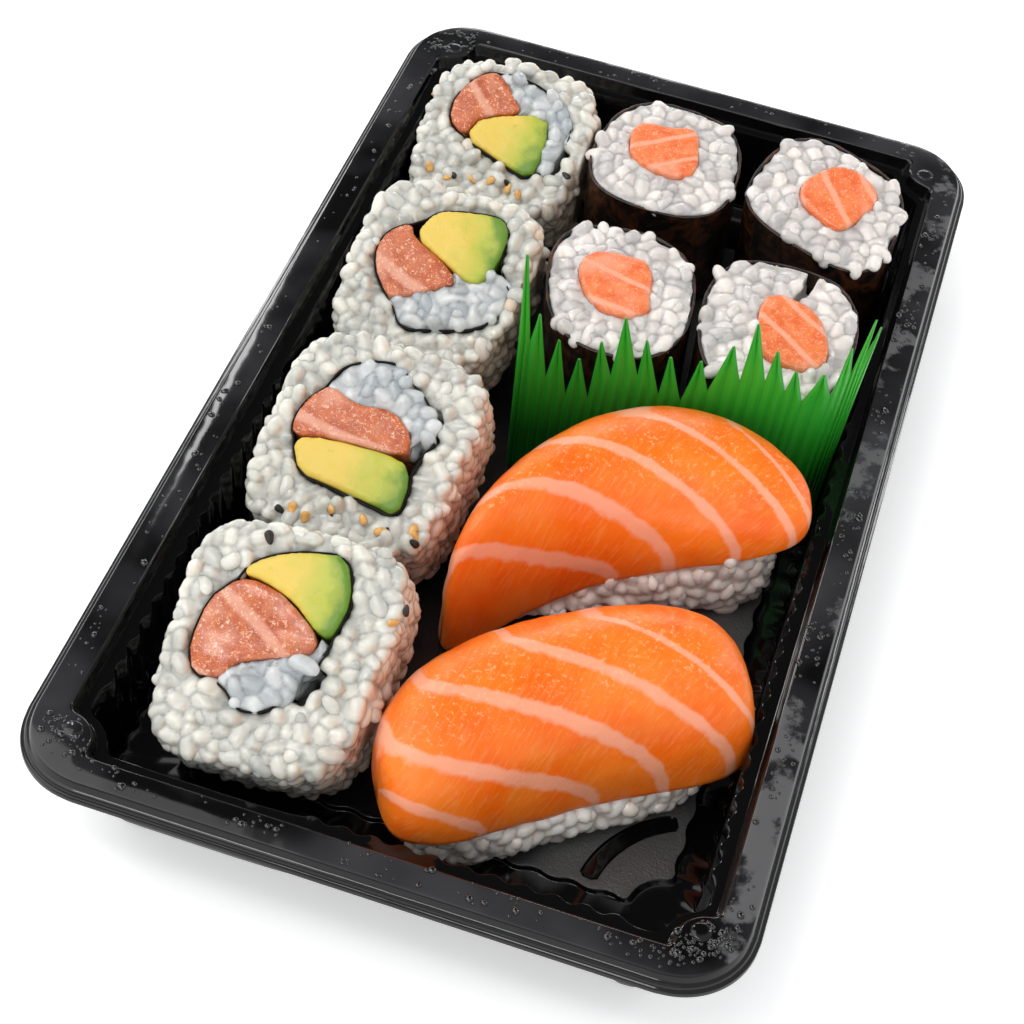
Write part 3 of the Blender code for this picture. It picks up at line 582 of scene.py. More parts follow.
@dataclass(frozen=True)
class DrapedSalmon(Finish):
    """Raw salmon cut across its lines of fat: vivid, moist, with fine muscle threads."""

    flesh: str = "#fc7f22"
    deep: str = "#f8690c"
    pale: str = "#f99a5c"
    fat: str = "#f8a684"
    # Colour of the painted highlights on top.
    glint: str = "#ffc48e"

    def dress(self, tree: Tree, shader: Node) -> None:
        """Pale bands follow the "fat" attribute, threads the "muscle" one."""
        fat = add_node(tree, "Attribute", {"attribute_name": "fat"})
        muscle = add_node(tree, "Attribute", {"attribute_name": "muscle"})
        place_at = add_node(tree, "TexCoord").outputs["Object"]
        cloudy = add_node(tree, "TexNoise", {"Scale": per_mm(9.0), "Detail": 3.0},
                          {"Vector": place_at})
        flesh = add_node(tree, "ValToRGB",
                         {"stops": ((0.35, linear(self.deep)), (0.65, linear(self.flesh)))},
                         {"Fac": cloudy})
        # Threads are 0.7 mm apart and a few millimetres long, across the bands.
        drawn = add_node(tree, "Mapping", {"Scale": (2.0, 0.3, 1.0)},
                         {"Vector": muscle.outputs["Vector"]})
        threads = add_node(tree, "TexNoise", {"Scale": 1.0, "Detail": 3.0, "Roughness": 0.6},
                           {"Vector": drawn})
        lit = add_node(tree, "MapRange", {"From Min": 0.5, "From Max": 0.7, "To Max": 0.42},
                       {"Value": threads})
        threaded = add_node(tree, "Mix", {"data_type": "RGBA", 7: linear(self.pale)},
                            {0: lit, 6: flesh})
        ragged = add_node(tree, "TexNoise", {"Scale": per_mm(3.2), "Detail": 4.0},
                          {"Vector": place_at})
        frayed = add_node(tree, "Math", {"operation": "MULTIPLY_ADD", 1: 1.5, 2: -0.75},
                          {0: ragged})
        edge = add_node(tree, "Math", {"operation": "ADD"}, {0: fat.outputs["Fac"], 1: frayed})
        band = add_node(tree, "MapRange",
                        {"From Min": -0.25, "From Max": 0.45, "To Max": 0.9,
                         "interpolation_type": "SMOOTHSTEP"}, {"Value": edge})
        banded = add_node(tree, "Mix", {"data_type": "RGBA", 7: linear(self.fat)},
                          {0: band, 6: threaded.outputs[2]})
        # Painted highlight: on upward-facing flesh, tiny facets under half a millimetre are
        # lightened into glints.
        facets = add_node(tree, "TexNoise",
                          {"Scale": per_mm(0.8), "Detail": 4.0, "Roughness": 0.7},
                          {"Vector": place_at})
        facing = add_node(tree, "SeparateXYZ",
                          links={0: add_node(tree, "NewGeometry").outputs["Normal"]})
        upward = add_node(tree, "MapRange", {"From Min": 0.72, "From Max": 0.95, "To Max": 0.5},
                          {"Value": facing.outputs["Z"]})
        crisp = add_node(tree, "MapRange", {"From Min": 0.56, "From Max": 0.66}, {"Value": facets})
        painted_sparkle = add_node(tree, "Math", {"operation": "MULTIPLY"}, {0: upward, 1: crisp})
        colour = add_node(tree, "Mix", {"data_type": "RGBA", 7: linear(self.glint)},
                          {0: painted_sparkle, 6: banded.outputs[2]})
        low = add_node(tree, "Math", {"operation": "MULTIPLY_ADD", 1: 0.5},
                       {0: threads, 2: facets})
        bump = add_node(tree, "Bump", {"Strength": 0.4, "Distance": 0.2 * MM}, {"Height": low})
        set_up(tree, shader,
               {"Roughness": 0.3, "IOR": 1.4, "Subsurface Weight": 0.2,
                "Subsurface Scale": 2.0 * MM, "Subsurface Radius": (1.0, 0.35, 0.15),
                "Coat Weight": 0.12, "Coat Roughness": 0.22, "Specular IOR Level": 0.4},
               {"Base Color": colour.outputs[2], "Normal": bump})


@dataclass(frozen=True)
class CutSalmon(Finish):
    """Raw salmon strips cut through with the roll: moist, pale where the fat lies."""

    flesh: str = "#cb6a36"
    deep: str = "#ac4718"
    fat: str = "#e2a287"
    # Colour of the painted highlights.
    glint: str = "#f6cdb2"
    lean: float = -0.5
    band: float = 9.0

    def dress(self, tree: Tree, shader: Node) -> None:
        """One winding band of fat a piece, cloudy pale flesh and tiny glints painted as
        highlights.
        """
        place_at = add_node(tree, "TexCoord").outputs["Object"]
        turned = add_node(tree, "Mapping", {"Rotation": (0.0, 0.0, self.lean)},
                          {"Vector": place_at})
        bands = add_node(tree, "TexWave",
                         {"Scale": per_mm(self.band) / 20.0 * 2.0 * math.pi, "Distortion": 5.5,
                          "Detail": 2.5, "Detail Scale": 0.6}, {"Vector": turned})
        lines = add_node(tree, "MapRange", {"From Min": 0.88, "From Max": 0.98, "To Max": 0.8},
                         {"Value": bands.outputs["Fac"]})
        broad = add_node(tree, "TexNoise", {"Scale": per_mm(7.0), "Detail": 2.0},
                         {"Vector": place_at})
        pale = add_node(tree, "MapRange", {"From Min": 0.52, "From Max": 0.72, "To Max": 0.6},
                        {"Value": broad})
        most = add_node(tree, "Math", {"operation": "MAXIMUM"}, {0: lines, 1: pale})
        cloudy = add_node(tree, "TexNoise",
                          {"Scale": per_mm(2.6), "Detail": 5.0, "Roughness": 0.65},
                          {"Vector": place_at})
        flesh = add_node(tree, "ValToRGB",
                         {"stops": ((0.33, linear(self.deep)), (0.6, linear(self.flesh)))},
                         {"Fac": cloudy})
        fatty = add_node(tree, "Mix", {"data_type": "RGBA", 7: linear(self.fat)},
                         {0: most, 6: flesh})
        facets = add_node(tree, "TexNoise",
                          {"Scale": per_mm(0.65), "Detail": 2.0, "Roughness": 0.6,
                           "Distortion": 1.5}, {"Vector": place_at})
        # Painted highlight: tiny glints where the fine noise peaks.
        glints = add_node(tree, "MapRange", {"From Min": 0.57, "From Max": 0.64, "To Max": 0.7},
                          {"Value": facets})
        colour = add_node(tree, "Mix", {"data_type": "RGBA", 7: linear(self.glint)},
                          {0: glints, 6: fatty.outputs[2]})
        bump = add_node(tree, "Bump", {"Strength": 0.7, "Distance": 0.3 * MM}, {"Height": facets})
        set_up(tree, shader,
               {"Roughness": 0.3, "IOR": 1.4, "Subsurface Weight": 0.3,
                "Subsurface Scale": 1.5 * MM, "Subsurface Radius": (1.0, 0.35, 0.2),
                "Coat Weight": 0.4, "Coat Roughness": 0.12},
               {"Base Color": colour.outputs[2], "Normal": bump})


@dataclass(frozen=True)
class RipeAvocado(Finish):
    """Ripe avocado, cut: butter yellow by the stone, green towards its skin."""

    left: float = 0.0
    right: float = 1.0
    yellow: str = "#dfc050"
    lime: str = "#b3b83c"
    green: str = "#648a1e"
    bruise: str = "#b39a3e"

    def dress(self, tree: Tree, shader: Node) -> None:
        """The colour turns from yellow to green across the piece."""
        place_at = add_node(tree, "TexCoord").outputs["Object"]
        split = add_node(tree, "SeparateXYZ", links={0: place_at})
        across = add_node(tree, "MapRange", {"From Min": self.left, "From Max": self.right},
                          {"Value": split.outputs["X"]})
        mottle = add_node(tree, "TexNoise", {"Scale": per_mm(4.0), "Detail": 3.0},
                          {"Vector": place_at})
        shift = add_node(tree, "Math", {"operation": "MULTIPLY_ADD", 1: 0.5, 2: -0.25},
                         {0: mottle})
        mixed = add_node(tree, "Math", {"operation": "ADD"}, {0: across, 1: shift})
        rim = add_node(tree, "Attribute", {"attribute_name": "rim"})
        outward = add_node(tree, "Math", {"operation": "MULTIPLY"},
                           {0: rim.outputs["Fac"], 1: across})
        ripe = add_node(tree, "Math", {"operation": "MULTIPLY_ADD", 1: 0.55},
                        {0: outward, 2: mixed})
        colour = add_node(tree, "ValToRGB",
                          {"stops": ((0.42, linear(self.yellow)), (0.8, linear(self.lime)),
                                     (1.0, linear(self.green)))},
                          {"Fac": ripe})
        specks = add_node(tree, "TexNoise", {"Scale": per_mm(2.8), "Detail": 4.0},
                          {"Vector": place_at})
        speck = add_node(tree, "MapRange", {"From Min": 0.68, "From Max": 0.74, "To Max": 0.6},
                         {"Value": specks})
        spotted = add_node(tree, "Mix", {"data_type": "RGBA", 7: linear(self.bruise)},
                           {0: speck, 6: colour})
        pores = add_node(tree, "TexNoise", {"Scale": per_mm(2.2), "Detail": 6.0, "Roughness": 0.7},
                         {"Vector": place_at})
        bump = add_node(tree, "Bump", {"Strength": 0.7, "Distance": 0.3 * MM}, {"Height": pores})
        set_up(tree, shader,
               {"Roughness": 0.38, "IOR": 1.45, "Subsurface Weight": 0.15,
                "Subsurface Scale": 1.5 * MM, "Coat Weight": 0.15, "Coat Roughness": 0.25},
               {"Base Color": spotted.outputs[2], "Normal": bump})


@dataclass(frozen=True)
class GreenFilm(Finish):
    """Green polypropylene film, die cut and creased: bright, satin, with painted shade low down.
    """

    # Painted shade: the film's colour at its foot.
    low: str = "#07480b"
    high: str = "#2ba528"
    # Painted shade along the creases.
    crease: str = "#127f1a"

    def dress(self, tree: Tree, shader: Node) -> None:
        """Painted shade runs along the creases up each blade, and painted shade darkens the strip
        towards its foot.
        """
        coords = add_node(tree, "TexCoord")
        height = add_node(tree, "SeparateXYZ", links={0: coords.outputs["Object"]})
        # Painted shade: darker towards the foot, deep in the tray.
        rise = add_node(tree, "MapRange", {"From Min": 10.0 * MM, "From Max": 34.0 * MM},
                        {"Value": height.outputs["Z"]})
        body = add_node(tree, "Mix",
                        {"data_type": "RGBA", 6: linear(self.low), 7: linear(self.high)},
                        {0: rise})
        own = add_node(tree, "SeparateXYZ", links={0: coords.outputs["UV"]})
        # Two creases for each blade, which is one unit wide in its own map; each crease carries a
        # line of painted shade.
        phase = add_node(tree, "Math", {"operation": "MULTIPLY", 1: 2.0}, {0: own.outputs["X"]})
        saw = add_node(tree, "Math", {"operation": "PINGPONG", 1: 0.5}, {0: phase})
        line = add_node(tree, "MapRange",
                        {"From Min": 0.0, "From Max": 0.09, "To Min": 0.7, "To Max": 0.0},
                        {"Value": saw})
        colour = add_node(tree, "Mix", {"data_type": "RGBA", 7: linear(self.crease)},
                          {0: line, 6: body.outputs[2]})
        bump = add_node(tree, "Bump", {"Strength": 0.5, "Distance": 0.2 * MM}, {"Height": saw})
        set_up(tree, shader,
               {"Roughness": 0.36, "IOR": 1.49, "Subsurface Weight": 0.1,
                "Subsurface Scale": 0.5 * MM}, {"Base Color": colour.outputs[2], "Normal": bump})


@dataclass(frozen=True)
class SesameHull(Finish):
    """Sesame seed, toasted: a satin hull with a fine grain."""

    hull: str = "#e9b76c"
    shade: str = "#cf9445"

    def dress(self, tree: Tree, shader: Node) -> None:
        """Hull colour with toasted patches."""
        place_at = add_node(tree, "TexCoord").outputs["Object"]
        toast = add_node(tree, "TexNoise", {"Scale": per_mm(1.2), "Detail": 3.0},
                         {"Vector": place_at})
        colour = add_node(tree, "ValToRGB",
                          {"stops": ((0.4, linear(self.hull)), (0.7, linear(self.shade)))},
                          {"Fac": toast})
        bump = add_node(tree, "Bump", {"Strength": 0.3, "Distance": 0.1 * MM}, {"Height": toast})
        set_up(tree, shader, {"Roughness": 0.38}, {"Base Color": colour, "Normal": bump})


@dataclass(frozen=True)
class StandingWater(Finish):
    """Drops of condensation: clear, so the black plastic shows through them."""

    def dress(self, tree: Tree, shader: Node) -> None:
        """On black plastic a drop is a black dome with a point of light."""
        place_at = add_node(tree, "TexCoord").outputs["Object"]
        ripple = add_node(tree, "TexNoise", {"Scale": per_mm(1.5)}, {"Vector": place_at})
        bump = add_node(tree, "Bump", {"Strength": 0.1, "Distance": 0.1 * MM}, {"Height": ripple})
        set_up(tree, shader,
               {"Base Color": linear("#0a0b0c"), "Roughness": 0.05, "IOR": 1.5, "Coat Weight": 0.5,
                "Coat Roughness": 0.02}, {"Normal": bump})


@dataclass(frozen=True)
class PaperSweep(Finish):
    """Matt white paper sweep under the tray."""

    tint: str = "#fbfbfb"
    glow: float = 0.32

    def dress(self, tree: Tree, shader: Node) -> None:
        """Plain matt white, lit a little from below as on a light table."""
        set_up(tree, shader,
               {"Base Color": linear(self.tint), "Emission Color": linear(self.tint),
                "Emission Strength": self.glow, "Roughness": 0.9, "Specular IOR Level": 0.1}, {})


# ---------------------------------------------------------------------- tray
@dataclass
class FormedTray:
    """The vacuum-formed tray: lip, flange with lugs, fluted wall, floor pad."""

    width: float = 118.7
    length: float = 205.0
    rim_height: float = 22.0
    sheet: float = 0.6
    rim_corner: float = 13.0
    # lip from its lower edge to the flange, and recess from the flange to the
    # ledge: inset and height, with the rounding of the mould at each bend
    lip: tuple[Point, ...] = (
        (0.0, 19.1), (0.0, 19.5), (0.1, 19.85), (0.36, 20.0), (0.52, 20.04), (0.66, 20.16),
        (0.76, 20.5), (0.92, 20.68), (1.15, 20.74), (1.36, 20.84), (1.5, 21.1), (1.72, 21.66),
        (1.9, 21.92), (2.2, 22.0))
    recess_inset: float = 6.9
    recess: tuple[Point, ...] = (
        (-0.9, 22.0), (-0.55, 21.96), (-0.26, 21.84), (-0.07, 21.62), (0.02, 21.3), (0.4, 19.95),
        (0.55, 19.62), (0.85, 19.5))
    lug_centre: Point = (51.8, 93.7)
    lug_radius: float = 5.2
    wall_half: Point = (50.4, 93.0)
    wall: tuple[Point, ...] = (
        (-0.35, 19.5), (-0.1, 19.4), (0.02, 19.1), (0.2, 15.5), (0.45, 10.0), (0.8, 2.6),
        (0.95, 1.2), (1.15, 0.8), (1.5, 0.6))
    flute_depth: float = 1.5
    flute_pitch: float = 4.8
    flutes: tuple[Optional[Point], ...] = (None, (-82.0, -5.0), (-13.0, 40.0), (-82.0, 22.0))
    ledge_height: float = 19.5
    floor_height: float = 0.6
    pad_half: Point = (44.6, 78.8)
    pad_notch: float = 6.5
    pad: tuple[Point, ...] = (
        (-0.2, 0.6), (0.0, 0.7), (0.3, 1.1), (0.5, 1.26), (0.75, 1.3))
    scallop_pitch: float = 7.4
    scallop_depth: float = 1.2
    groove_centre: Point = (50.1, 79.0)
    groove_radii: Point = (18.2, 21.4)
    groove_angles: Point = (187.5, 245.0)
    groove: tuple[Point, ...] = ((-0.15, 1.3), (0.0, 1.22), (0.35, 0.78), (0.6, 0.7))
    button_at: Point = (50.3, 92.0)
    button_radius: float = 1.7
    button_height: float = 0.5
    quadrants: tuple[tuple[int, int], ...] = ((1, 1), (-1, 1), (-1, -1), (1, -1))

    def rim_quadrant(self, half_x: float, half_y: float, radius: float) -> list[Point]:
        """Nine points of a rounded corner in the first quadrant."""
        turn = [math.radians(15.0 * i) for i in range(7)]
        arc = [(half_x - radius + radius * math.cos(a), half_y - radius + radius * math.sin(a))
               for a in turn]
        return [(half_x, half_y - radius - 1.0)] + arc + [(half_x - radius - 1.0, half_y)]

    def lug_quadrant(self, half_x: float, half_y: float, radius: float) -> list[Point]:
        """Nine points of the corner where the flange's lug bulges inward."""
        centre_x, centre_y = self.lug_centre
        start = -math.acos((half_x - centre_x) / radius)
        end = -math.pi - math.asin((half_y - centre_y) / radius)
        y_hit = centre_y + radius * math.sin(start)
        x_hit = centre_x + radius * math.cos(end)
        low, high = start - math.radians(9.0), end + math.radians(9.0)
        points = [(half_x, y_hit - 1.9), (half_x - 0.2, y_hit - 0.8)]
        for i in range(5):
            angle = low + (high - low) * i / 4.0
            points.append((centre_x + radius * math.cos(angle),
                           centre_y + radius * math.sin(angle)))
        return points + [(x_hit - 0.8, half_y - 0.2), (x_hit - 1.9, half_y)]

    @staticmethod
    def mirrored(points: Sequence[Point], flip: tuple[int, int]) -> list[Point]:
        """A first-quadrant corner in another quadrant, kept in order."""
        made = [(x * flip[0], y * flip[1]) for x, y in points]
        return made if flip[0] * flip[1] > 0 else made[::-1]

    def side(self, start: Point, end: Point, axis: int, span: Optional[Point]) -> list[Point]:
        """Points between two corners.

        Args:
            start: Last point of the corner before.
            end: First point of the corner after.
            axis: 0 along X, 1 along Y.
            span: First and last place of the flutes, or None for a plain side.

        Returns:
            The points in order.
        """
        if span is None:
            return [(start[0] + (end[0] - start[0]) * t, start[1] + (end[1] - start[1]) * t)
                    for t in (1 / 3, 2 / 3)]
        count = max(2, round((span[1] - span[0]) / self.flute_pitch))
        level = start[1 - axis]
        steps = []
        for i in range(2 * count + 1):
            along = span[0] + (span[1] - span[0]) * i / (2 * count)
            across = level - math.copysign(self.flute_depth if i % 2 else 0.0, level)
            steps.append((across, along) if axis else (along, across))
        return steps[::-1] if end[axis] < start[axis] else steps

    def outline(self, quadrant: Callable[[float, float, float], list[Point]],
                half: Point, radius: float, fluted: bool = False) -> np.ndarray:
        """Closed outline from four corners and the sides between them."""
        corner = quadrant(half[0], half[1], radius)
        corners = [self.mirrored(corner, flip) for flip in self.quadrants]
        points: list[Point] = []
        for i, part in enumerate(corners):
            span = self.flutes[i] if fluted else None
            axis = 0 if i % 2 == 0 else 1
            points += part + self.side(part[-1], corners[(i + 1) % 4][0], axis, span)
        return soften(points, 2)

    def pad_outline(self, inset: float) -> np.ndarray:
        """Outline of the floor pad: hollow corners and two scalloped sides."""
        half_x, half_y = self.pad_half[0] - inset, self.pad_half[1] - inset
        notch = self.pad_notch + inset * 0.4
        turn = [math.radians(-90.0 - 30.0 * i) for i in range(4)]
        corner = [(half_x + notch * math.cos(a), half_y + notch * math.sin(a)) for a in turn]
        corners = [self.mirrored(corner, flip) for flip in self.quadrants]
        points: list[Point] = []
        for i, part in enumerate(corners):
            start, end = part[-1], corners[(i + 1) % 4][0]
            axis = 0 if i % 2 == 0 else 1
            points += part
            if i < 2:
                points += self.side(start, end, axis, None)
                continue
            count = round(2.0 * self.pad_half[axis] / self.scallop_pitch)
            for k in range(1, 2 * count):
                t = k / (2 * count)
                spot = [start[0] + (end[0] - start[0]) * t, start[1] + (end[1] - start[1]) * t]
                if k % 2:
                    spot[1 - axis] -= math.copysign(self.scallop_depth, spot[1 - axis])
                points.append((spot[0], spot[1]))
        return soften(points, 2)

    def groove_outline(self, flip: tuple[int, int], inset: float) -> np.ndarray:
        """Outline of one curved groove in the floor pad."""
        inner, outer = self.groove_radii[0] + inset, self.groove_radii[1] - inset
        margin = math.degrees(inset / self.groove_radii[0])
        low, high = self.groove_angles[0] + margin, self.groove_angles[1] - margin
        points = []
        for radius, order in ((outer, range(9)), (inner, range(8, -1, -1))):
            for i in order:
                angle = math.radians(low + (high - low) * i / 8.0)
                points.append((self.groove_centre[0] + radius * math.cos(angle),
                               self.groove_centre[1] + radius * math.sin(angle)))
        return soften(self.mirrored(points, flip), 1)

    def build(self) -> Piece:
        """Form the sheet, ring by ring, and give it its thickness.

        Returns:
            The tray.
        """
        half_x, half_y = self.width / 2.0, self.length / 2.0
        rings = [lifted(self.outline(self.rim_quadrant, (half_x - inset, half_y - inset),
                                     self.rim_corner - inset), height)
                 for inset, height in self.lip]
        for inset, height in self.recess:
            reach = self.recess_inset + inset
            rings.append(lifted(self.outline(self.lug_quadrant, (half_x - reach, half_y - reach),
                                             self.lug_radius + inset), height))
        parts = [extrude_along("formed_tray", rings)]
        wall = []
        for inset, height in self.wall:
            half = (self.wall_half[0] - inset, self.wall_half[1] - inset)
            wall.append(lifted(self.outline(self.lug_quadrant, half,
                                            self.lug_radius + 2.0 + inset, True), height))
        parts.append(extrude_along("fluted_wall", wall))
        parts.append(extrude_along("floor_pad", [lifted(self.pad_outline(inset), height)
                                                 for inset, height in self.pad]))
        for flip in self.quadrants:
            steps = [lifted(self.groove_outline(flip, inset), height)
                     for inset, height in self.groove]
            groove = extrude_along("groove", steps)
            bpy.ops.object.mode_set(mode="EDIT")
            bpy.ops.mesh.fill(use_beauty=True)
            bpy.ops.object.mode_set(mode="OBJECT")
            parts.append(groove)
        pick(*parts)
        bpy.ops.object.join()
        tray = parts[0]
        for height in (self.ledge_height, self.floor_height, self.pad[-1][1]):
            fill_level(tray, height)
        edit(tray, lambda: bpy.ops.mesh.normals_make_consistent(inside=False))
        flange = max(tray.data.polygons, key=lambda face: face.center.z)
        if flange.normal.z < 0.0:
            tray.data.flip_normals()
        finish_with(tray, "SOLIDIFY", thickness=self.sheet * MM, offset=-1.0,
                    use_even_offset=False)
        self.add_buttons(tray)
        smooth(tray, 32.0)
        return tray

    def add_buttons(self, tray: Piece) -> None:
        """Raise the small stacking dome on each corner lug."""
        domes = []
        for flip_x, flip_y in self.quadrants:
            bpy.ops.mesh.primitive_uv_sphere_add(
                segments=24, ring_count=12, radius=self.button_radius * MM,
                location=(self.button_at[0] * flip_x * MM, self.button_at[1] * flip_y * MM,
                          self.rim_height * MM))
            dome = bpy.context.active_object
            dome.scale.z = self.button_height / self.button_radius
            bpy.ops.object.transform_apply(location=True, rotation=True, scale=True)
            domes.append(dome)
        pick(tray, *domes)
        bpy.ops.object.join()

    def dress(self, tray: Piece) -> None:
        """Give the tray its plastic."""
        publish(tray, BlackPolystyrene("black_polystyrene_formed"), "black_plastic", "tray")


# --------------------------------------------------------------------- grains
@dataclass
class Template:
    """A small closed mesh that is repeated many times."""

    points: np.ndarray
    faces: list[tuple[int, ...]]

    @classmethod
    def ball(cls, size: Spot, bend: float = 0.0, segments: int = 8,
             rings: int = 6, taper: float = 0.0) -> "Template":
        """A ball drawn out along X, bent and tapered.

        Args:
            size: Full length, width and thickness in millimetres.
            bend: How far its ends move sideways, in millimetres.
            segments: Facets round it.
            rings: Facets along it.
            taper: How much narrower one end is, as a share.

        Returns:
            The template.
        """
        bpy.ops.mesh.primitive_uv_sphere_add(segments=segments, ring_count=rings, radius=0.5)
        ball = bpy.context.active_object
        in_order(ball)
        unit = places(ball) * MM
        faces = [tuple(face.vertices) for face in ball.data.polygons]
        bpy.data.meshes.remove(ball.data)
        length, width, thick = size
        along = unit[:, 2] * 2.0
        plump = 1.0 + 0.22 * along ** 2 * (1.0 - along ** 2) * 2.0 - taper * along
        points = np.column_stack([along * length / 2.0,
                                  unit[:, 0] * width * plump + bend * along ** 2,
                                  unit[:, 1] * thick * plump])
        return cls(points, faces)


@dataclass
class Scatter:
    """Many copies of one template, joined into a single piece."""

    name: str
    template: Template
    chunks: list[np.ndarray] = field(default_factory=list)
    tones: list[float] = field(default_factory=list)
    # Share of painted shade on the right, for each copy.
    right_shades: list[float] = field(default_factory=list)
    frames: list[np.ndarray] = field(default_factory=list)

    def add(self, centre: np.ndarray, axes: np.ndarray, scale: Sequence[float],
            tone: float = 1.0, stain: float = 0.0) -> None:
        """Put down one copy.

        Args:
            centre: Place in millimetres.
            axes: Rows are the copy's own X, Y and Z.
            scale: Factors along those axes.
            tone: Value of its "tone" attribute.
            stain: Value of its "stain" attribute, the share of painted shade on rice facing right.
        """
        self.chunks.append((self.template.points * np.asarray(scale)) @ axes + centre)
        self.tones.append(tone)
        self.right_shades.append(stain)
        half = np.ptp(self.template.points, axis=0) * np.asarray(scale) / 2.0
        self.frames.append(axes / half[:, None])

    def build(self) -> Piece:
        """Join all the copies.

        Returns:
            The joined piece.
        """
        size = len(self.template.points)
        faces = [tuple(i + size * k for i in face)
                 for k in range(len(self.chunks)) for face in self.template.faces]
        mesh = bpy.data.meshes.new(self.name)
        mesh.from_pydata((np.vstack(self.chunks) * MM).tolist(), [], faces)
        item = bpy.data.objects.new(self.name, mesh)
        bpy.context.scene.collection.objects.link(item)
        mark(item, "tone", np.repeat(self.tones, size))
        # Painted shade on the right, for the rice finish.
        mark(item, "stain", np.repeat(self.right_shades, size))
        pick(item)
        bpy.ops.object.shade_smooth()
        return item


@dataclass
class Neighbours:
    """The solids round a piece, for finding out what is covered."""

    tree: BVHTree

    @classmethod
    def without(cls, *skipped: str) -> "Neighbours":
        """All solids of the frame but the skipped ones."""
        return cls.of(*(item.name for item in bpy.data.objects
                        if "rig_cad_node" in item and item.name not in skipped))

    @classmethod
    def of(cls, *names: str) -> "Neighbours":
        """Only the named solids."""
        points: list[Vector] = []
        faces: list[tuple[int, ...]] = []
        for name in names:
            item = bpy.data.objects[name]
            base = len(points)
            points += [v.co / MM for v in item.data.vertices]
            faces += [tuple(i + base for i in face.vertices) for face in item.data.polygons]
        return cls(BVHTree.FromPolygons(points, faces))

    def covers(self, spot: np.ndarray, normal: np.ndarray, reach: float) -> bool:
        """Whether a solid lies within reach straight out of a surface."""
        return self.tree.ray_cast(Vector(spot), Vector(normal), reach)[0] is not None

    def gap(self, spot: np.ndarray) -> float:
        """Distance from a place to the nearest solid."""
        return self.tree.find_nearest(Vector(spot))[3]

    def hug(self, piece: Piece, thickness: float, reach: float = 4.0) -> None:
        """Draw a thin sheet against these solids.

        Args:
            piece: The sheet.
            thickness: Its thickness in millimetres.
            reach: Farthest move in millimetres.
        """
        points = places(piece)
        for vertex, spot in zip(piece.data.vertices, points):
            hit, _, _, away = self.tree.find_nearest(Vector(spot))
            inner = vertex.normal.dot(hit - Vector(spot)) > 0.0
            move = away - 0.1 - (0.0 if inner else thickness)
            if 0.0 < move < reach:
                spot += np.array(hit - Vector(spot)) * (move / away)
        place(piece, points)

    def meet(self, piece: Piece, reach: float, least: float) -> None:
        """Swell a body until its covered faces touch these solids.

        Args:
            piece: The body.
            reach: Farthest move in millimetres.
            least: Extra move of every vertex that touches.
        """
        points = places(piece)
        normals = [vertex.normal.copy() for vertex in piece.data.vertices]
        for i, normal in enumerate(normals):
            away = self.tree.ray_cast(Vector(points[i]), normal, reach)[3]
            if away is not None:
                points[i] += np.array(normal) * (away + least)
        place(piece, points)


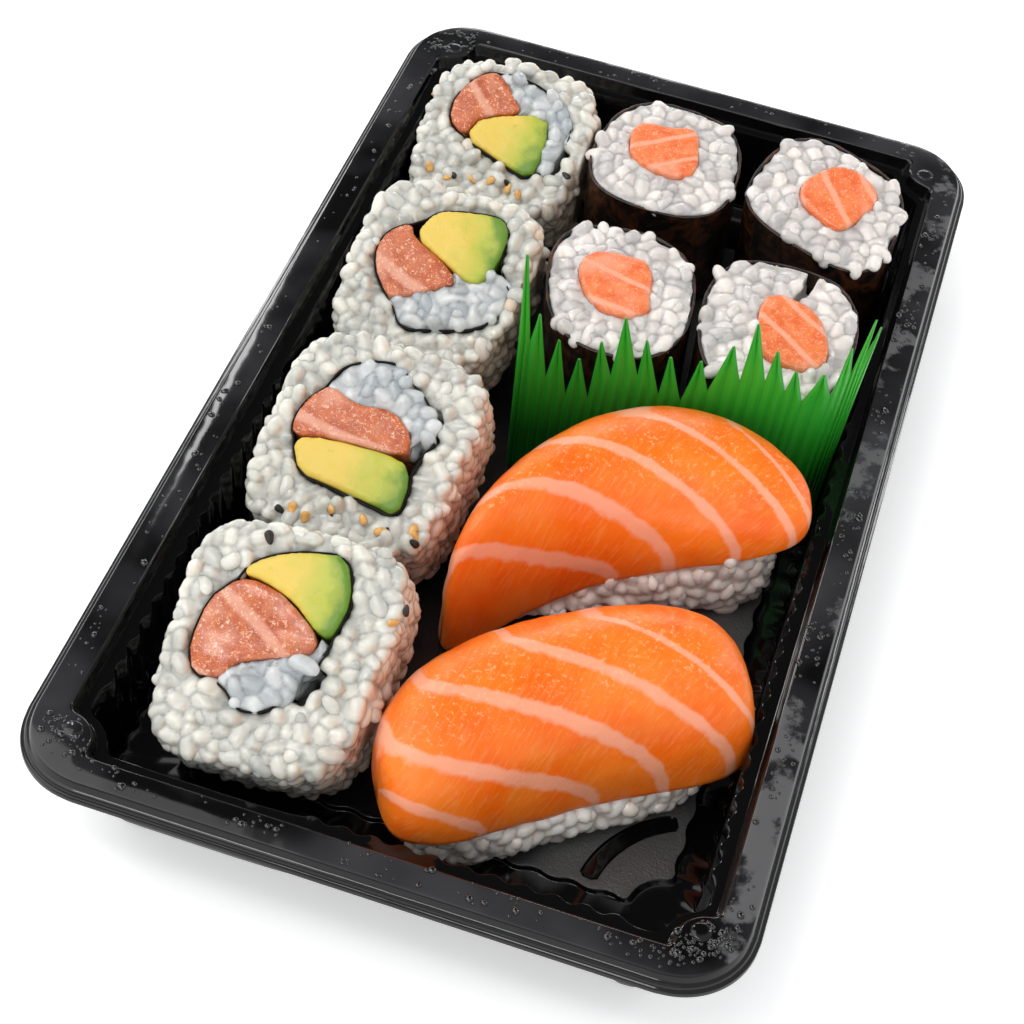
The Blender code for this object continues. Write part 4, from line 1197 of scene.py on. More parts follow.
@dataclass
class RiceBed:
    """Rice pressed together: a sticky body of merged grains, and whole grains on it.

    Lengths are in millimetres. A level is the least upward share of the ground
    that grains lie on, and -2 lets them lie everywhere.
    """

    loose: Scatter
    chance: random.Random
    around: Neighbours
    wrap: Neighbours
    shrink: float = 1.0
    merged_spacing: float = 2.25
    merged_proud: float = 1.05
    spacing: float = 5.0
    proud: float = 1.15
    half: Spot = (2.25, 1.45, 1.3)
    milky: Point = (0.3, 1.0)
    on_end: float = 0.12
    room: float = 0.3
    # Share of painted shade on rice that faces right.
    stain: float = 0.0
    seam: float = 0.34
    crease_depth: float = 0.07
    crease_neighbours: int = 7
    bare_from: Point = (1.05, 1.55)
    bare_crease: float = 0.7
    merged_level: float = -2.0
    level: float = -2.0
    coarse: float = 0.8
    fine: float = 0.4
    covered_within: Point = (2.0, 2.4)
    wrap_reach: float = 4.0
    wrap_bite: float = 0.1

    def build(self, node: str, keep_off: Optional[Callable[[np.ndarray], bool]] = None,
              carve: Optional[Callable[[Piece], None]] = None) -> Piece:
        """Turn a rice solid into sticky rice.

        Args:
            node: Name of the rice solid.
            keep_off: Whether a place stays free of grains.
            carve: Shapes the body before the grains are laid.

        Returns:
            The body; its whole grains go to the scatter.
        """
        body = copy_of(node, node + "_sticky")
        finish_with(body, "REMESH", mode="VOXEL", voxel_size=self.coarse * MM)
        finish_with(body, "SMOOTH", factor=0.5, iterations=1)
        air = body.vertex_groups.new(name="open")
        for vertex in body.data.vertices:
            covered = self.around.covers(vertex.co / MM, vertex.normal, self.covered_within[0])
            air.add([vertex.index], 0.0 if covered else 1.0, "REPLACE")
        finish_with(body, "DISPLACE", strength=-self.shrink * MM, mid_level=0.0,
                    vertex_group=air.name)
        self.wrap.meet(body, self.wrap_reach, self.wrap_bite)
        if carve:
            carve(body)
        merged = Scatter(node + "_merged", self.loose.template)
        self.lay(body, merged, self.merged_spacing, self.merged_proud, keep_off,
                 self.merged_level)
        self.lay(body, self.loose, self.spacing, self.proud, keep_off, self.level)
        grains = merged.build()
        pick(body, grains)
        bpy.ops.object.join()
        finish_with(body, "REMESH", mode="VOXEL", voxel_size=self.fine * MM)
        finish_with(body, "SMOOTH", factor=0.3, iterations=1)
        self.part(body, merged)
        pick(body)
        bpy.ops.object.shade_smooth()
        return body

    def part(self, body: Piece, grains: Scatter) -> None:
        """Part the body's grains: each has its own tone, and a crease runs round it.

        Args:
            body: The merged body.
            grains: The grains that were merged into it.
        """
        centres = np.array([chunk.mean(axis=0) for chunk in grains.chunks])
        finder = KDTree(len(centres))
        for i, centre in enumerate(centres):
            finder.insert(centre, i)
        finder.balance()
        points = places(body)
        nearest = np.array([[found[1] for found in finder.find_n(spot, self.crease_neighbours)]
                            for spot in points])
        away = np.einsum("nkij,nkj->nki", np.array(grains.frames)[nearest],
                         points[:, None] - centres[nearest])
        away = np.linalg.norm(away, axis=2)
        order = np.argsort(away, axis=1)
        rows = np.arange(len(points))
        own, other = away[rows, order[:, 0]], away[rows, order[:, 1]]
        shared = 1.0 - np.clip((other - own) / self.seam, 0.0, 1.0)
        start, end = self.bare_from
        bare = np.clip((own - start) / (end - start), 0.0, self.bare_crease)
        crease = np.maximum(shared, bare)
        normals = np.zeros(len(points) * 3, np.float32)
        body.data.vertices.foreach_get("normal", normals)
        normals = normals.reshape(-1, 3)
        place(body, points - normals * (crease * self.crease_depth)[:, None])
        mark(body, "tone", np.array(grains.tones)[nearest[rows, order[:, 0]]])
        # The crease share also darkens the rice finish as painted shade.
        mark(body, "crease", crease)
        # Painted shade on rice that faces right.
        mark(body, "stain", self.shaded_right(normals[:, 0]))

    def shaded_right(self, rightward: np.ndarray) -> np.ndarray:
        """Share of painted shade, darker and warmer, on rice that faces right, away from the
        light.
        """
        return np.clip((rightward - 0.3) * 1.4, 0.0, 1.0) * self.stain

    def sites(self, body: Piece, spacing: float) -> list[tuple[np.ndarray, np.ndarray]]:
        """Places on a body, none closer together than the spacing.

        Args:
            body: The pressed body.
            spacing: Least distance in millimetres.

        Returns:
            Place and normal of each site.
        """
        mesh = body.data
        centres = np.zeros(len(mesh.polygons) * 3, np.float32)
        normals = np.zeros(len(mesh.polygons) * 3, np.float32)
        mesh.polygons.foreach_get("center", centres)
        mesh.polygons.foreach_get("normal", normals)
        centres = centres.reshape(-1, 3).astype(float) / MM
        normals = normals.reshape(-1, 3).astype(float)
        order = list(range(len(centres)))
        self.chance.shuffle(order)
        taken: dict[tuple[int, int, int], list[np.ndarray]] = {}
        found = []
        cells = np.floor(centres / spacing).astype(int).tolist()
        for i in order:
            spot, (cx, cy, cz) = centres[i], cells[i]
            near = [other for dx in (-1, 0, 1) for dy in (-1, 0, 1) for dz in (-1, 0, 1)
                    for other in taken.get((cx + dx, cy + dy, cz + dz), ())]
            if near and ((np.array(near) - spot) ** 2).sum(axis=1).min() < spacing ** 2:
                continue
            taken.setdefault((cx, cy, cz), []).append(spot)
            found.append((spot, normals[i]))
        return found

    def lay(self, body: Piece, scatter: Scatter, spacing: float, proud: float,
            keep_off: Optional[Callable[[np.ndarray], bool]], level: float) -> None:
        """Lay grains wherever the body is open to the air.

        Args:
            body: The pressed body.
            scatter: Where the grains go.
            spacing: Least distance between them in millimetres.
            proud: How far they rise above the body in millimetres.
            keep_off: Whether a place stays free of grains.
            level: Least upward share of the ground they lie on.
        """
        for spot, normal in self.sites(body, spacing):
            covered = self.around.covers(spot, normal, self.covered_within[1])
            if normal[2] < level or covered or (keep_off and keep_off(spot)):
                continue
            axes = self.best_turn(spot, normal)
            size = self.chance.uniform(0.82, 1.1)
            scale = (size * self.chance.uniform(0.85, 1.15), size, size)
            half = np.abs(axes @ normal) * np.array(self.half) * size
            sink = proud + self.chance.uniform(-0.25, 0.25) - float(np.linalg.norm(half))
            # The last value is the share of painted shade on the right.
            scatter.add(spot + normal * sink, axes, scale, self.chance.uniform(*self.milky),
                        float(self.shaded_right(normal[0])))

    def best_turn(self, spot: np.ndarray, normal: np.ndarray) -> np.ndarray:
        """Axes of a grain, turned so that its ends stay clear of the neighbours."""
        best, widest = np.eye(3), -1.0
        for _ in range(6):
            swing = np.array([self.chance.gauss(0.0, 1.0) for _ in range(3)])
            along = np.cross(normal, swing)
            along /= np.linalg.norm(along)
            rise = self.chance.uniform(0.8, 1.5) if self.chance.random() < self.on_end \
                else self.chance.gauss(0.0, 0.28)
            along = along * math.cos(rise) + normal * math.sin(rise)
            side = np.cross(normal + 0.01 * swing, along)
            side /= np.linalg.norm(side)
            axes = np.array([along, side, np.cross(along, side)])
            reach = along * self.half[0] * 0.8
            room = min(self.around.gap(spot + reach), self.around.gap(spot - reach))
            if room > self.room:
                return axes
            if room > widest:
                best, widest = axes, room
        return best


# ----------------------------------------------------------------- roll parts
def press_filling(node: str, swell: float, nori: str, voxel: float = 0.4) -> Piece:
    """Turn a filling's solid into soft flesh with a cut face.

    Args:
        node: Name of the solid.
        swell: How far it swells to meet its neighbours, in millimetres.
        nori: Name of the solid it is wrapped in.
        voxel: Mesh size in millimetres.

    Returns:
        The piece, with its nearness to the wrapping as an attribute.
    """
    piece = copy_of(node, node + "_flesh")
    finish_with(piece, "REMESH", mode="VOXEL", voxel_size=voxel * MM)
    finish_with(piece, "SMOOTH", factor=0.5, iterations=1)
    finish_with(piece, "DISPLACE", strength=swell * MM, mid_level=0.0)
    relief(piece, 5.0, 0.35)
    sheet = Neighbours.of(nori)
    mark(piece, "rim", np.exp(-np.array([sheet.gap(spot) for spot in places(piece)]) / 1.3))
    pick(piece)
    bpy.ops.object.shade_smooth()
    return piece


def lay_nori(node: str, wrinkle: float, cuts: int = 9,
             wraps: Optional[Neighbours] = None) -> Piece:
    """Turn a nori solid into a smooth sheet with wrinkles.

    Args:
        node: Name of the solid.
        wrinkle: Height of the wrinkles in millimetres.
        cuts: Cuts across its height.
        wraps: What the sheet is drawn tight against, if anything.

    Returns:
        The piece.
    """
    piece = copy_of(node, node + "_sheet")
    drop_split_normals(piece)
    edit(piece, lambda: bpy.ops.mesh.tris_convert_to_quads(
        face_threshold=math.radians(60.0), shape_threshold=math.radians(120.0)))
    points = places(piece)
    upright = [np.linalg.norm(points[edge.vertices[0]] - points[edge.vertices[1]]) > 12.0
               for edge in piece.data.edges]
    edit_edges(piece, upright, lambda: bpy.ops.mesh.subdivide(number_cuts=cuts),
               lambda: bpy.ops.mesh.select_all(action="DESELECT"),
               lambda: bpy.ops.mesh.edges_select_sharp(sharpness=math.radians(50.0)),
               lambda: bpy.ops.transform.edge_crease(value=0.9))
    finish_with(piece, "SUBSURF", levels=2, render_levels=2)
    if wraps:
        wraps.hug(piece, 0.3)
        finish_with(piece, "SMOOTH", factor=0.5, iterations=2)
    relief(piece, 3.5, wrinkle, 3)
    smooth(piece, 50.0)
    return piece


@dataclass
class Uramaki:
    """Inside-out rolls: rice outside, a nori loop, salmon, avocado and a rice curl."""

    names: tuple[str, ...] = ("uramaki_1", "uramaki_2", "uramaki_3", "uramaki_4")
    seed: int = 11
    outer: CookedRice = CookedRice("cooked_rice_outer")
    curl: CookedRice = CookedRice("cooked_rice_curl", milky="#d6d8d6", glassy="#a9afb2",
                                  gloss=0.26)
    nori: RoastedNori = RoastedNori("roasted_nori_thin", brown="#20140c", shine=0.12)
    leans: tuple[float, ...] = (-0.9, -1.2, -1.4, -1.15)

    def build(self, grain: Template) -> None:
        """Build and dress every uramaki.

        Args:
            grain: Template of one rice grain.
        """
        chance = random.Random(self.seed)
        flank = Scatter("uramaki_grains", grain)
        curls = Scatter("uramaki_curl_grains", grain)
        for name, lean in zip(self.names, self.leans):
            nori, fish, pulp = name + "_nori", name + "_salmon", name + "_avocado"
            pressed = press_filling(fish, 0.25, nori)
            publish(pressed, CutSalmon("raw_salmon_" + name, lean=lean), "salmon", fish)
            low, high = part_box(pulp)
            ripe = RipeAvocado("ripe_avocado_" + name, left=low.x, right=high.x)
            sliced = press_filling(pulp, 0.25, nori)
            publish(sliced, ripe, "avocado", pulp)
            node = name + "_inner_rice"
            sheet = lay_nori(nori, 0.12, 3, Neighbours.of(pressed.name, sliced.name, node))
            publish(sheet, self.nori, "nori", nori)
            bed = RiceBed(curls, chance, Neighbours.without(node),
                          Neighbours.of(sheet.name, pressed.name, sliced.name), shrink=0.5,
                          merged_proud=0.8, proud=0.9, milky=(0.0, 1.0))
            publish(bed.build(node), self.curl, "rice", node)
            node = name + "_outer_rice"
            # The outer rice gets painted shade on its right-facing side.
            bed = RiceBed(flank, chance, Neighbours.without(node), Neighbours.of(sheet.name),
                          milky=(0.35, 1.0), stain=0.5)
            publish(bed.build(node), self.outer, "rice", node)
        publish(flank.build(), self.outer.loose("rice_grains_outer"), "rice")
        publish(curls.build(), self.curl.loose("rice_grains_curl"), "rice")


@dataclass
class RiceSplit:
    """A place where the rice of a roll has parted down to its nori."""

    roll: str = "hosomaki_4"
    centre: Point = (35.3, 40.2)
    width: float = 2.3
    length: float = 10.5
    depth: float = 9.0
    turn: float = -12.0

    def keep_off(self, spot: np.ndarray) -> bool:
        """Whether a place lies in the split."""
        a = math.radians(self.turn)
        dx, dy = spot[0] - self.centre[0], spot[1] - self.centre[1]
        across, along = dx * math.cos(a) + dy * math.sin(a), dy * math.cos(a) - dx * math.sin(a)
        return math.hypot(across / (self.width * 0.85), along / (self.length * 0.55)) < 1.0

    def carve(self, body: Piece) -> None:
        """Cut the split out of the rice with a long drawn-out wedge.

        Args:
            body: The pressed body.
        """
        top = places(body)[:, 2].max()
        bpy.ops.mesh.primitive_uv_sphere_add(segments=20, ring_count=12, radius=0.5)
        wedge = bpy.context.active_object
        in_order(wedge)
        wedge.scale = (self.width * MM, self.length * MM, self.depth * 2.0 * MM)
        wedge.rotation_euler.z = math.radians(self.turn)
        wedge.location = (self.centre[0] * MM, self.centre[1] * MM, top * MM)
        bpy.ops.object.transform_apply(location=True, rotation=True, scale=True)
        finish_with(body, "BOOLEAN", object=wedge, operation="DIFFERENCE", solver="MANIFOLD")
        bpy.data.meshes.remove(wedge.data)


@dataclass
class Hosomaki:
    """Thin rolls: a nori tube, rice that swells over its rim and a salmon core."""

    names: tuple[str, ...] = ("hosomaki_1", "hosomaki_2", "hosomaki_3", "hosomaki_4")
    seed: int = 23
    split: RiceSplit = field(default_factory=RiceSplit)
    rice: CookedRice = CookedRice("cooked_rice_crown", milky="#ebe3dc", glassy="#bdb9b7")
    nori: RoastedNori = RoastedNori("roasted_nori_tube")
    salmon: CutSalmon = CutSalmon("raw_salmon_core", flesh="#f3854a", deep="#e9652b",
                                  fat="#f6ae90", glint="#fbb893", band=6.5)
    leans: tuple[float, ...] = (0.9, 2.5, 1.7, 2.2)

    def build(self, grain: Template) -> None:
        """Build and dress every hosomaki.

        Args:
            grain: Template of one rice grain.
        """
        chance = random.Random(self.seed)
        crown = Scatter("hosomaki_grains", grain)
        for name, lean in zip(self.names, self.leans):
            nori, fish = name + "_nori", name + "_salmon"
            core = press_filling(fish, 0.3, nori)
            publish(core, replace(self.salmon, name="raw_salmon_" + name, lean=lean), "salmon",
                    fish)
            publish(lay_nori(nori, 0.5), self.nori, "nori", nori)
            node = name + "_rice"
            bed = RiceBed(crown, chance, Neighbours.without(node), Neighbours.of(core.name),
                          milky=(0.1, 1.0), merged_proud=0.9, proud=0.95, on_end=0.05,
                          room=0.5, merged_level=0.5, level=0.93)
            parted = name == self.split.roll
            body = bed.build(node, self.split.keep_off if parted else None,
                             self.split.carve if parted else None)
            publish(body, self.rice, "rice", node)
        publish(crown.build(), self.rice.loose("rice_grains_crown"), "rice")


# -------------------------------------------------------------------- nigiri
@dataclass(frozen=True)
class FatLine:
    """One line of fat: where it leaves the crest, reaches the hem, and its bend."""

    crest: float
    hem: float
    power: float
    width: float = 1.5

    def at(self, fall: np.ndarray) -> np.ndarray:
        """Place along the slice for each share of the way down from the crest."""
        return self.crest + (self.hem - self.crest) * np.sin(math.pi / 2 * fall ** self.power)


@dataclass
class Nigiri:
    """A slice of salmon draped over a pressed rice block."""

    name: str
    x: float
    y: float
    turn: float
    half_length: float
    bow: Point
    half_width: float
    widening: float
    plan_power: float
    tail_power: float
    crest: Spot
    hem: Spot
    arch_power: float
    lines: tuple[FatLine, ...]
    thickness: float = 5.4
    edge: float = 2.2
    slice_end: float = 2.6
    lowest_hem: float = 2.0
    front_reach: float = 24.0
    outer_share: float = 0.62
    lip_share: float = 0.74

    def section(self, along: float) -> tuple[float, float, float, float]:
        """Middle line, half width, hem and crest height at a station."""
        power = self.plan_power if along > 0.0 else self.tail_power
        half = (1.0 - min(abs(along), 1.0) ** power) ** (1.0 / power)
        half *= self.half_width * (1.0 + self.widening * along)
        middle = self.bow[0] * along + self.bow[1] * along ** 2
        crest = self.crest[0] + self.crest[1] * along + self.crest[2] * along ** 2
        hem = self.hem[0] + self.hem[1] * along + self.hem[2] * along ** 2
        hem = max(hem, self.lowest_hem)
        dome = (1.0 - min(abs(along), 1.0) ** 5) ** 0.2
        return middle, half, hem, hem + (crest - hem) * dome

    def arch(self, share: float) -> float:
        """Height of the arched section at a share of its half width."""
        return (1.0 - min(abs(share), 1.0) ** self.arch_power) ** (1.0 / self.arch_power)

    def point(self, a: float, b: float) -> Spot:
        """Point of the slice's skin.

        Args:
            a: From -1 at one end to 1 at the other.
            b: From -1 to 1 once round the section, 0 at the crest.

        Returns:
            Place in the tray's axes, in millimetres.
        """
        along = math.sin(math.pi * a / 2.0)
        middle, half, hem, crest = self.section(along)
        inner_half = max(half - self.edge, half * 0.45)
        inner_rise = max(crest - hem - self.thickness, (crest - hem) * 0.3)
        sign = math.copysign(1.0, b)
        share = abs(b)
        length = self.half_length
        if share <= self.outer_share:
            v = math.sin(math.pi / 2.0 * share / self.outer_share)
            y, z = half * v, hem + (crest - hem) * self.arch(v)
        elif share <= self.lip_share:
            turn = math.pi * (share - self.outer_share) / (self.lip_share - self.outer_share)
            radius = (half - inner_half) / 2.0
            y = half - radius + radius * math.cos(turn)
            z = hem - radius * 0.5 * math.sin(turn)
            length -= self.slice_end * (1.0 - math.cos(turn)) / 2.0
        else:
            v = math.sin(math.pi / 2.0 * (1.0 - share) / (1.0 - self.lip_share))
            y, z = inner_half * v, hem + inner_rise * self.arch(v)
            length -= self.slice_end
        local_x, local_y = along * length, middle + sign * y
        c, s = math.cos(math.radians(self.turn)), math.sin(math.radians(self.turn))
        return self.x + local_x * c - local_y * s, self.y + local_x * s + local_y * c, z

    def build_slice(self) -> Piece:
        """Lay a fine grid round the section and close it into the slice.

        Returns:
            The slice, with its fat lines and muscle threads as attributes.
        """
        bpy.ops.mesh.primitive_grid_add(x_subdivisions=120, y_subdivisions=128, size=2.0)
        piece = bpy.context.active_object
        piece.name = self.name + "_slice"
        flat = places(piece) * MM
        place(piece, np.array([self.point(a, b) for a, b, _ in flat]))
        weld(piece, 0.03)
        self.map_flesh(piece)
        relief(piece, 7.0, 0.5)
        pick(piece)
        bpy.ops.object.shade_smooth()
        return piece

    def map_flesh(self, piece: Piece) -> None:
        """Work out each vertex's place in the cut of fish.

        Args:
            piece: The slice.
        """
        points = places(piece)
        c, s = math.cos(math.radians(self.turn)), math.sin(math.radians(self.turn))
        dx, dy = points[:, 0] - self.x, points[:, 1] - self.y
        along = np.clip((dx * c + dy * s) / self.half_length, -0.9999, 0.9999)
        sections = np.array([self.section(value) for value in along])
        across = (dy * c - dx * s - sections[:, 0]) / np.maximum(sections[:, 1], 0.3)
        fall = np.arcsin(np.clip(across, -1.0, 1.0)) / (math.pi / 2.0)
        down = np.clip((0.3 - fall) / 1.3, 0.0, 1.0)
        fat = np.full(len(points), -2.0)
        for line in self.lines:
            slope = (line.at(np.clip(down + 0.01, 0.0, 1.0)) - line.at(down)) / 0.01
            away = (along - line.at(down)) * self.half_length
            away /= np.sqrt(1.0 + (slope * self.half_length / self.front_reach) ** 2)
            reach = np.where(away > 0.0, 0.65, 1.0) * line.width
            fat = np.maximum(fat, 1.0 - np.abs(away) / reach)
        mark(piece, "fat", fat)
        # Threads cross the fat lines, which lean this way over the slice.
        lean = math.atan2(0.6 * self.half_length, self.front_reach)
        x, t = along * self.half_length, down * self.front_reach
        mark(piece, "muscle", np.column_stack([x * math.sin(lean) + t * math.cos(lean),
                                               x * math.cos(lean) - t * math.sin(lean),
                                               np.zeros(len(x))]))


@dataclass
class NigiriPair:
    """The two nigiri and the grains of their rice."""

    seed: int = 37
    salmon: DrapedSalmon = DrapedSalmon("raw_salmon_draped")
    # Painted light: this rice is given a whiter colour than the rolls' rice, to lift it out of the
    # shade between the nigiri.
    rice: CookedRice = CookedRice("cooked_rice_pressed", milky="#fff3e8", glassy="#d8cdc5")
    pair: tuple[Nigiri, ...] = (
        Nigiri("nigiri_far", x=12.15, y=-10.8, turn=33.6, half_length=32.3, bow=(0.84, -13.6),
               half_width=14.6, widening=0.55, plan_power=2.14, tail_power=2.9,
               crest=(30.3, -0.6, 0.6),
               hem=(11.4, 11.8, 0.2), arch_power=2.22,
               lines=(FatLine(0.74, 0.95, 0.8, 0.7), FatLine(0.25, 0.84, 0.75, 1.05),
                      FatLine(-0.32, 0.55, 1.0, 1.15), FatLine(-0.80, 0.23, 1.4, 1.4),
                      FatLine(-0.97, -0.05, 3.6, 1.1))),
        Nigiri("nigiri_near", x=17.5, y=-57.8, turn=31.2, half_length=31.4, bow=(4.1, -7.0),
               half_width=15.7, widening=0.02, plan_power=3.8, tail_power=3.1,
               crest=(31.3, -1.1, 1.1),
               hem=(11.0, -1.4, 4.2), arch_power=2.36,
               lines=(FatLine(0.25, 1.0, 0.9, 0.75), FatLine(-0.24, 0.84, 1.25, 1.15),
                      FatLine(-0.72, 0.48, 1.6, 1.25), FatLine(-0.95, 0.12, 3.3, 1.15),
                      FatLine(-1.1, -0.5, 5.0, 0.95))))

    def build(self, grain: Template) -> None:
        """Build and dress both nigiri.

        Args:
            grain: Template of one rice grain.
        """
        chance = random.Random(self.seed)
        bands = Scatter("nigiri_grains", grain)
        for nigiri in self.pair:
            fish = nigiri.build_slice()
            publish(fish, self.salmon, "salmon", nigiri.name + "_salmon")
            node = nigiri.name + "_rice"
            bed = RiceBed(bands, chance, Neighbours.without(node), Neighbours.of(fish.name),
                          shrink=0.8)
            publish(bed.build(node), self.rice, "rice", node)
        publish(bands.build(), self.rice.loose("rice_grains_pressed"), "rice")


# --------------------------------------------------------------------- grass
@dataclass
class GrassStrip:
    """Green plastic grass: a die-cut strip whose blades differ in height."""

    line: tuple[Point, ...] = ((-8.8, 3.4), (0.0, 5.8), (12.0, 7.9), (30.0, 8.1),
                               (43.0, 8.0), (48.0, 13.0))
    foot: float = 1.7
    lean: Point = (0.14, 0.12)
    fan: float = 0.05
    sheet: float = 0.3
    # tip place along the strip, tip height, place and height of the cut after it
    blades: tuple[tuple[float, float, float, float], ...] = (
        (0.000, 48.0, 0.030, 30.0), (0.049, 36.0, 0.085, 22.5), (0.109, 31.0, 0.149, 19.0),
        (0.173, 27.5, 0.216, 19.0), (0.227, 32.0, 0.271, 25.0), (0.284, 38.0, 0.349, 26.0),
        (0.357, 34.0, 0.423, 23.0), (0.436, 32.0, 0.492, 23.0), (0.527, 33.0, 0.565, 27.0),
        (0.610, 38.0, 0.651, 31.0), (0.664, 44.0, 0.722, 32.5), (0.736, 39.5, 0.784, 31.5),
        (0.800, 36.5, 0.837, 30.5), (0.875, 37.5, 0.916, 32.0), (0.936, 42.5, 0.960, 36.0),
        (0.981, 48.0, 0.985, 40.0), (1.004, 46.0, 1.000, 24.0))
    tip_width: float = 0.25
    pleat: float = 0.18

    def at(self, share: float, height: float) -> np.ndarray:
        """Point of the leaning strip at a share of its length."""
        steps = [math.dist(a, b) for a, b in zip(self.line, self.line[1:])]
        target, spot = share * sum(steps), 0
        while spot < len(steps) - 1 and steps[spot] < target:
            target -= steps[spot]
            spot += 1
        t = target / steps[spot]
        (ax, ay), (bx, by) = self.line[spot], self.line[spot + 1]
        lean = self.lean[0] + (self.lean[1] - self.lean[0]) * min(1.0, share * 2.0)
        rise = height - 1.6
        fan = self.fan * rise * (2.0 * share - 1.0) ** 3
        return np.array([ax + (bx - ax) * t + fan, ay + (by - ay) * t + lean * rise, height])

    def build(self) -> Piece:
        """Cut, pleat and join the blades.

        Returns:
            The strip.
        """
        start, waist = 0.0, self.blades[0][3]
        parts = []
        for share, tip, end, cut in self.blades:
            bpy.ops.mesh.primitive_grid_add(x_subdivisions=12, y_subdivisions=24, size=2.0)
            blade = bpy.context.active_object
            spots = []
            for a, b, _ in places(blade) * MM:
                across, rise = (a + 1.0) / 2.0, b + 1.0
                if rise <= 1.0:
                    left = self.at(start, self.foot + (waist - self.foot) * rise)
                    right = self.at(end, self.foot + (cut - self.foot) * rise)
                else:
                    rise -= 1.0
                    peak = self.at(share, tip)
                    low, high = self.at(start, waist), self.at(end, cut)
                    sliver = (high - low) / max(np.linalg.norm(high - low), 0.01)
                    left = low * (1.0 - rise) + (peak - sliver * self.tip_width / 2) * rise
                    right = high * (1.0 - rise) + (peak + sliver * self.tip_width / 2) * rise
                spot = left * (1.0 - across) + right * across
                spot[1] += self.pleat * math.cos(4.0 * math.pi * across)
                spots.append(spot)
            place(blade, np.array(spots))
            parts.append(blade)
            start, waist = end, cut
        pick(*parts)
        bpy.ops.object.join()
        strip = parts[0]
        strip.name = "grass_strip"
        weld(strip, 0.05)
        finish_with(strip, "SOLIDIFY", thickness=self.sheet * MM, offset=0.0)
        smooth(strip, 40.0)
        return strip

    def dress(self, strip: Piece) -> None:
        """Give the strip its green film."""
        publish(strip, GreenFilm("green_polypropylene_film"), "green_plastic", "grass_divider")


# ------------------------------------------------------------ seeds and water
@dataclass(frozen=True)
class SeedRun:
    """A run of seeds, mostly in the dip where two rolls meet."""

    start: Spot
    end: Spot
    black: int
    toasted: int


@dataclass
class SesameSeeds:
    """Black and toasted sesame seeds that stick to the uramaki rice."""

    size: Spot = (2.4, 1.4, 0.8)
    spread: float = 1.1
    seed: int = 43
    runs: tuple[SeedRun, ...] = (
        SeedRun((-39.0, -39.0, 23.0), (-10.0, -37.0, 24.0), 4, 7),
        SeedRun((-31.0, -58.0, 39.0), (-31.0, -58.0, 39.0), 1, 0),
        SeedRun((-8.0, -67.0, 34.0), (-8.0, -58.0, 36.0), 1, 1),
        SeedRun((-44.0, 53.0, 23.0), (-22.0, 53.0, 23.0), 2, 6),
        SeedRun((-49.0, 76.0, 30.0), (-49.0, 68.0, 27.0), 0, 2),
        SeedRun((-16.0, 63.0, 28.0), (-15.0, 30.0, 34.0), 2, 0))

    def build(self, rice: Neighbours) -> None:
        """Lay every seed flat on the nearest rice.

        Args:
            rice: The uramaki bodies.
        """
        chance = random.Random(self.seed)
        template = Template.ball(self.size, rings=8, taper=0.35)
        for kind, finish in (
                ("black", SesameHull("black_sesame_hull", hull="#15120f", shade="#2c241d")),
                ("toasted", SesameHull("toasted_sesame_hull"))):
            seeds = Scatter("sesame_seeds_" + kind, template)
            for run in self.runs:
                count = getattr(run, kind)
                for i in range(count):
                    share = (i + chance.uniform(0.2, 0.8)) / count
                    spot = Vector(run.start).lerp(Vector(run.end), share)
                    spot += Vector([chance.uniform(-self.spread, self.spread) for _ in range(3)])
                    self.lay(seeds, rice, spot, chance)
            publish(seeds.build(), finish, "rice")

    @staticmethod
    def lay(seeds: Scatter, rice: Neighbours, spot: Vector, chance: random.Random) -> None:
        """Lay one seed flat on the rice nearest to a place.

        Args:
            seeds: Where the seed goes.
            rice: The uramaki bodies.
            spot: Place near the rice, in millimetres.
            chance: Source of its turn and size.
        """
        hit, normal, _, _ = rice.tree.find_nearest(spot)
        swing = np.array([chance.gauss(0.0, 1.0) for _ in range(3)])
        along = np.cross(normal, swing)
        along /= np.linalg.norm(along)
        axes = np.array([along, np.cross(normal, along), np.array(normal)])
        size = chance.uniform(0.85, 1.1)
        seeds.add(np.array(hit + normal * 0.12), axes, (size, size, size))


